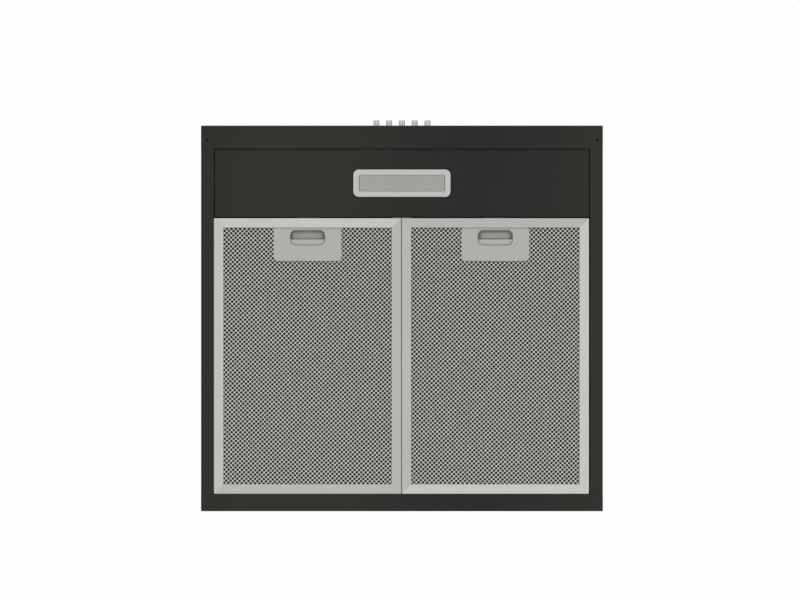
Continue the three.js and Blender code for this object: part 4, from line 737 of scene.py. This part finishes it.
def filters():
    for side in SIDES:
        filter_mesh(side)
        filter_frame(side)
        dressed(f"filter_handle_{side}", 0.0003, 3, FINISH["handle_plastic"])
        dressed(f"latch_{side}", 0.0003, 2, FINISH["handle_plastic"])
        dressed(f"latch_tray_{side}", 0.0002, 2, FINISH["pocket_plastic"])
        dressed(f"latch_spring_{side}", 0.00001, 1)


# ------------------------------------------------------------------ lamp

def rounded_ring(middle, half_x, half_y, radius, height, steps=6):
    """Places round a rectangle with round corners."""
    places = []
    for quarter, (way_x, way_y) in enumerate(((1, 1), (-1, 1), (-1, -1), (1, -1))):
        for i in range(steps + 1):
            angle = (quarter + i / steps) * math.pi / 2
            places.append(Vector((
                middle.x + way_x * (half_x - radius) + radius * math.cos(angle),
                middle.y + way_y * (half_y - radius) + radius * math.sin(angle),
                height,
            )))
    return places


def grown(bm, ring, places):
    """Extrudes a closed ring of vertices, and moves each new vertex to its place."""
    edges = [bm.edges.get(pair) for pair in zip(ring, ring[1:] + ring[:1])]
    made = bmesh.ops.extrude_edge_only(bm, edges=edges)["geom"]
    fresh = {item for item in made if isinstance(item, bmesh.types.BMVert)}
    new_ring = []
    for vert, place in zip(ring, places):
        others = (edge.other_vert(vert) for edge in vert.link_edges)
        twin = next(other for other in others if other in fresh)
        twin.co = place
        new_ring.append(twin)
    return new_ring


def swept(bm, middle, half_x, half_y, section, closed):
    """Runs a section round a rectangle. Each of its rows is inset, corner radius and height.

    An open section is closed with a flat face at each end.
    """
    rows = [
        rounded_ring(middle, half_x - inset, half_y - inset, radius, height)
        for inset, radius, height in section
    ]
    first = [bm.verts.new(place) for place in rows[0]]
    for pair in zip(first, first[1:] + first[:1]):
        bm.edges.new(pair)
    ring = first
    for places in rows[1:] + rows[:1] if closed else rows[1:]:
        ring = grown(bm, ring, places)
    if closed:
        bmesh.ops.remove_doubles(bm, verts=first + ring, dist=0.000001)
    else:
        for end in (first, ring):
            bmesh.ops.contextual_create(bm, geom=end)
    bmesh.ops.recalc_face_normals(bm, faces=bm.faces)


def lamp_bezel():
    """The lamp's frame: soft outer edges, and a shallow step round the window.

    The rows of its section are inset, corner radius and height.
    """
    low, high, middle = place_of("lamp_bezel")
    half = (high - low) / 2
    face = low.z
    back = face + 0.0016
    collar_top = high.z
    outer, inner = 0.0067, 0.002  # corner radii of the frame and its window
    bm = bmesh.new()
    swept(bm, middle, half.x, half.y, [
        (0.0, outer, back),
        (0.0, outer, face + 0.0006),
        (0.00018, outer - 0.0002, face + 0.00018),
        (0.0006, outer - 0.0006, face),
        (0.0052, inner + 0.0012, face),
        (0.0055, inner + 0.001, face + 0.0003),
        (0.0066, inner + 0.0004, face + 0.00035),
        (0.0068, inner, face + 0.0005),
        (0.0068, inner, back),
        (0.0050, inner, back),
        (0.0050, inner, collar_top),
        (0.0040, inner + 0.0006, collar_top),
        (0.0040, inner + 0.0006, back),
    ], closed=True)
    shade(bm, 40)
    finished(bm, "lamp_bezel_frame", "casing", "silver_plastic", nodes=["lamp_bezel"])


def lamp_lens():
    """The lens: fine ribs along its length, standing in the bezel's window, and a flange behind."""
    low, high, middle = place_of("lamp_lens")
    ribs = 13
    steps_per_rib = 4
    rib_height = 0.00022
    flange = 0.0019
    stand = 0.0014
    half_x = (high.x - low.x) / 2 - flange
    half_y = (high.y - low.y) / 2 - flange
    bm = bmesh.new()
    bmesh.ops.create_grid(bm, x_segments=1, y_segments=ribs * steps_per_rib, size=1)
    bmesh.ops.scale(bm, verts=bm.verts, vec=(half_x, half_y, 1))
    bmesh.ops.translate(bm, verts=bm.verts, vec=(middle.x, middle.y, low.z - stand))
    for vert in bm.verts:
        phase = (vert.co.y - middle.y) / half_y * ribs * math.pi
        vert.co.z -= rib_height * (0.5 + 0.5 * math.cos(phase))
    rim = [e for e in bm.edges if e.is_boundary]
    made = bmesh.ops.extrude_edge_only(bm, edges=rim)["geom"]
    for vert in (item for item in made if isinstance(item, bmesh.types.BMVert)):
        vert.co.z = low.z + 0.0001
    bmesh.ops.contextual_create(bm, geom=[e for e in bm.edges if e.is_boundary])
    swept(bm, middle, half_x + flange, half_y + flange, [
        (0.0004, 0.0014, low.z),
        (0.0, 0.0017, low.z + 0.0004),
        (0.0, 0.0017, high.z - 0.0004),
        (0.0004, 0.0014, high.z),
    ], closed=False)
    shade(bm, 50)
    finished(bm, "lamp_lens_ribbed", "casing", "frosted_lens", nodes=["lamp_lens"])


def lamp():
    lamp_bezel()
    lamp_lens()
    dressed("lamp_housing", 0.0003)
    dressed("led_board", 0.0001, 1)


# ------------------------------------------------------------------ turned pieces

def spun(outline, place, axis, steps, closed):
    """Turns an outline of (radius, distance along the axis) about an axis through a place."""
    bm = bmesh.new()
    axis = Vector(axis)
    across = Vector((1, 0, 0))
    verts = [bm.verts.new(place + across * r + axis * along) for r, along in outline]
    pairs = list(zip(verts, verts[1:] + verts[:1] if closed else verts[1:]))
    edges = [bm.edges.new(pair) for pair in pairs]
    bmesh.ops.spin(bm, geom=verts + edges, cent=place, axis=axis, angle=2 * math.pi, steps=steps,
                   use_merge=True)
    bmesh.ops.remove_doubles(bm, verts=bm.verts, dist=0.000002)
    bmesh.ops.recalc_face_normals(bm, faces=bm.faces)
    return bm


def round_edge(radius, size, steps=5):
    """Points of a quarter round at the rim of a turned piece's first end."""
    points = []
    for i in range(1, steps + 1):
        angle = i / steps * math.pi / 2
        points.append((radius - size + size * math.sin(angle), size - size * math.cos(angle)))
    return points


def button(node):
    """A cap with a softly edged, slightly dished end on a thinner stem."""
    low, high, middle = place_of(node)
    radius = (high.z - low.z) / 2
    stem = 0.002
    cap_length = 0.014
    edge = 0.0014
    dish = 0.0001
    length = high.y - low.y
    outline = [(0, dish), (radius * 0.6, dish * 0.7), (radius - edge, 0.0)]
    outline += round_edge(radius, edge)
    outline += [(radius, cap_length), (stem, cap_length), (stem, length), (0, length)]
    place = Vector((middle.x, low.y, middle.z))
    bm = spun(outline, place, (0, 1, 0), 40, closed=False)
    shade(bm, 40)
    finished(bm, f"{node}_cap", node, SLOT[node], FINISH["button_plastic"], [node])


def outlet_collar():
    """The duct spigot: a smooth tube with a rounded rim, a locking bead, its flange and stop."""
    low, high, middle = place_of("outlet_collar")
    flange = (high.x - low.x) / 2
    outer = flange - 0.009
    wall = 0.002
    inner = outer - wall
    stop = inner - 0.0025
    height = high.z - low.z
    bead = 0.0008
    bead_place = height - 0.007
    chamfer = 0.0004  # at the rim of the flange
    fillet = 0.001  # between the flange and the tube
    rim = 0.0008  # rounding of the tube's end
    outline = [
        (stop, 0.0), (flange - chamfer, 0.0), (flange, chamfer), (flange, wall - chamfer),
        (flange - chamfer, wall), (outer + fillet, wall),
        (outer + fillet * 0.3, wall + fillet * 0.3), (outer, wall + fillet),
        (outer, bead_place - bead * 2), (outer + bead * 0.7, bead_place - bead),
        (outer + bead, bead_place), (outer + bead * 0.7, bead_place + bead),
        (outer, bead_place + bead * 2), (outer, height - rim),
        (outer - rim / 4, height - rim / 4), (outer - rim, height),
        (inner + rim, height), (inner + rim / 4, height - rim / 4),
        (inner, height - rim), (inner, wall / 2), (stop, wall / 2),
    ]
    place = Vector((middle.x, middle.y, low.z))
    bm = spun(outline, place, (0, 0, 1), 96, closed=True)
    shade(bm, 50)
    finished(bm, "outlet_collar_turned", "casing", "black_plastic", nodes=["outlet_collar"])


def cable_grommet():
    """The rubber ring in the cable hole, gripping both faces of the top panel."""
    low, high, middle = place_of("cable_grommet")
    rim = (high.x - low.x) / 2
    hole = rim - 0.0033
    bore = 0.004
    end = low.z - high.z
    panel_top = -high.z
    lower_lip = panel_top - 0.0013
    bite = 0.0003  # the upper lip's rim presses in by this much, and its root stands off by it
    outline = [
        (bore, -0.0006), (bore + 0.0004, -0.0001), (bore + 0.0012, 0.0), (rim - 0.002, -0.0005),
        (rim - 0.0005, -0.0009), (rim, -0.0013), (rim, panel_top - bite),
        (hole, panel_top + bite), (hole, lower_lip), (rim, lower_lip),
        (rim - 0.0008, lower_lip - 0.0023), (bore + 0.0012, end), (bore, end + 0.0006),
    ]
    place = Vector((middle.x, middle.y, high.z))
    bm = spun(outline, place, (0, 0, 1), 64, closed=True)
    shade(bm, 45)
    finished(bm, "cable_grommet_turned", "casing", "black_rubber", nodes=["cable_grommet"])


# ------------------------------------------------------------------ the whole hood

# pieces that keep the shape of their CAD nodes, by the width of their rounded edges
PLAIN_PIECES = {
    0.00025: ["front_panel", "top_panel", "rear_panel", "side_panel_left", "side_panel_right",
              "lamp_panel", "filter_rail", "switch_bracket"],
    0.0004: ["switch_block", "fan_housing", "fan_lid", "inlet_guard", "motor",
             "outlet_flap_front", "outlet_flap_rear", "terminal_box", "terminal_cover", "capacitor",
             "motor_connector", "impeller"],
    0.0001: ["corner_screw_left", "corner_screw_right", "motor_screw_1", "motor_screw_2",
             "motor_screw_3", "motor_shaft", "impeller_nut", "flap_pin",
             "switch_lead", "lamp_lead", "motor_lead"],
}

camera_below()
studio()
filters()
lamp()
for name in BUTTONS:
    button(name)
outlet_collar()
cable_grommet()
for edge_width, names in PLAIN_PIECES.items():
    for name in names:
        dressed(name, edge_width)
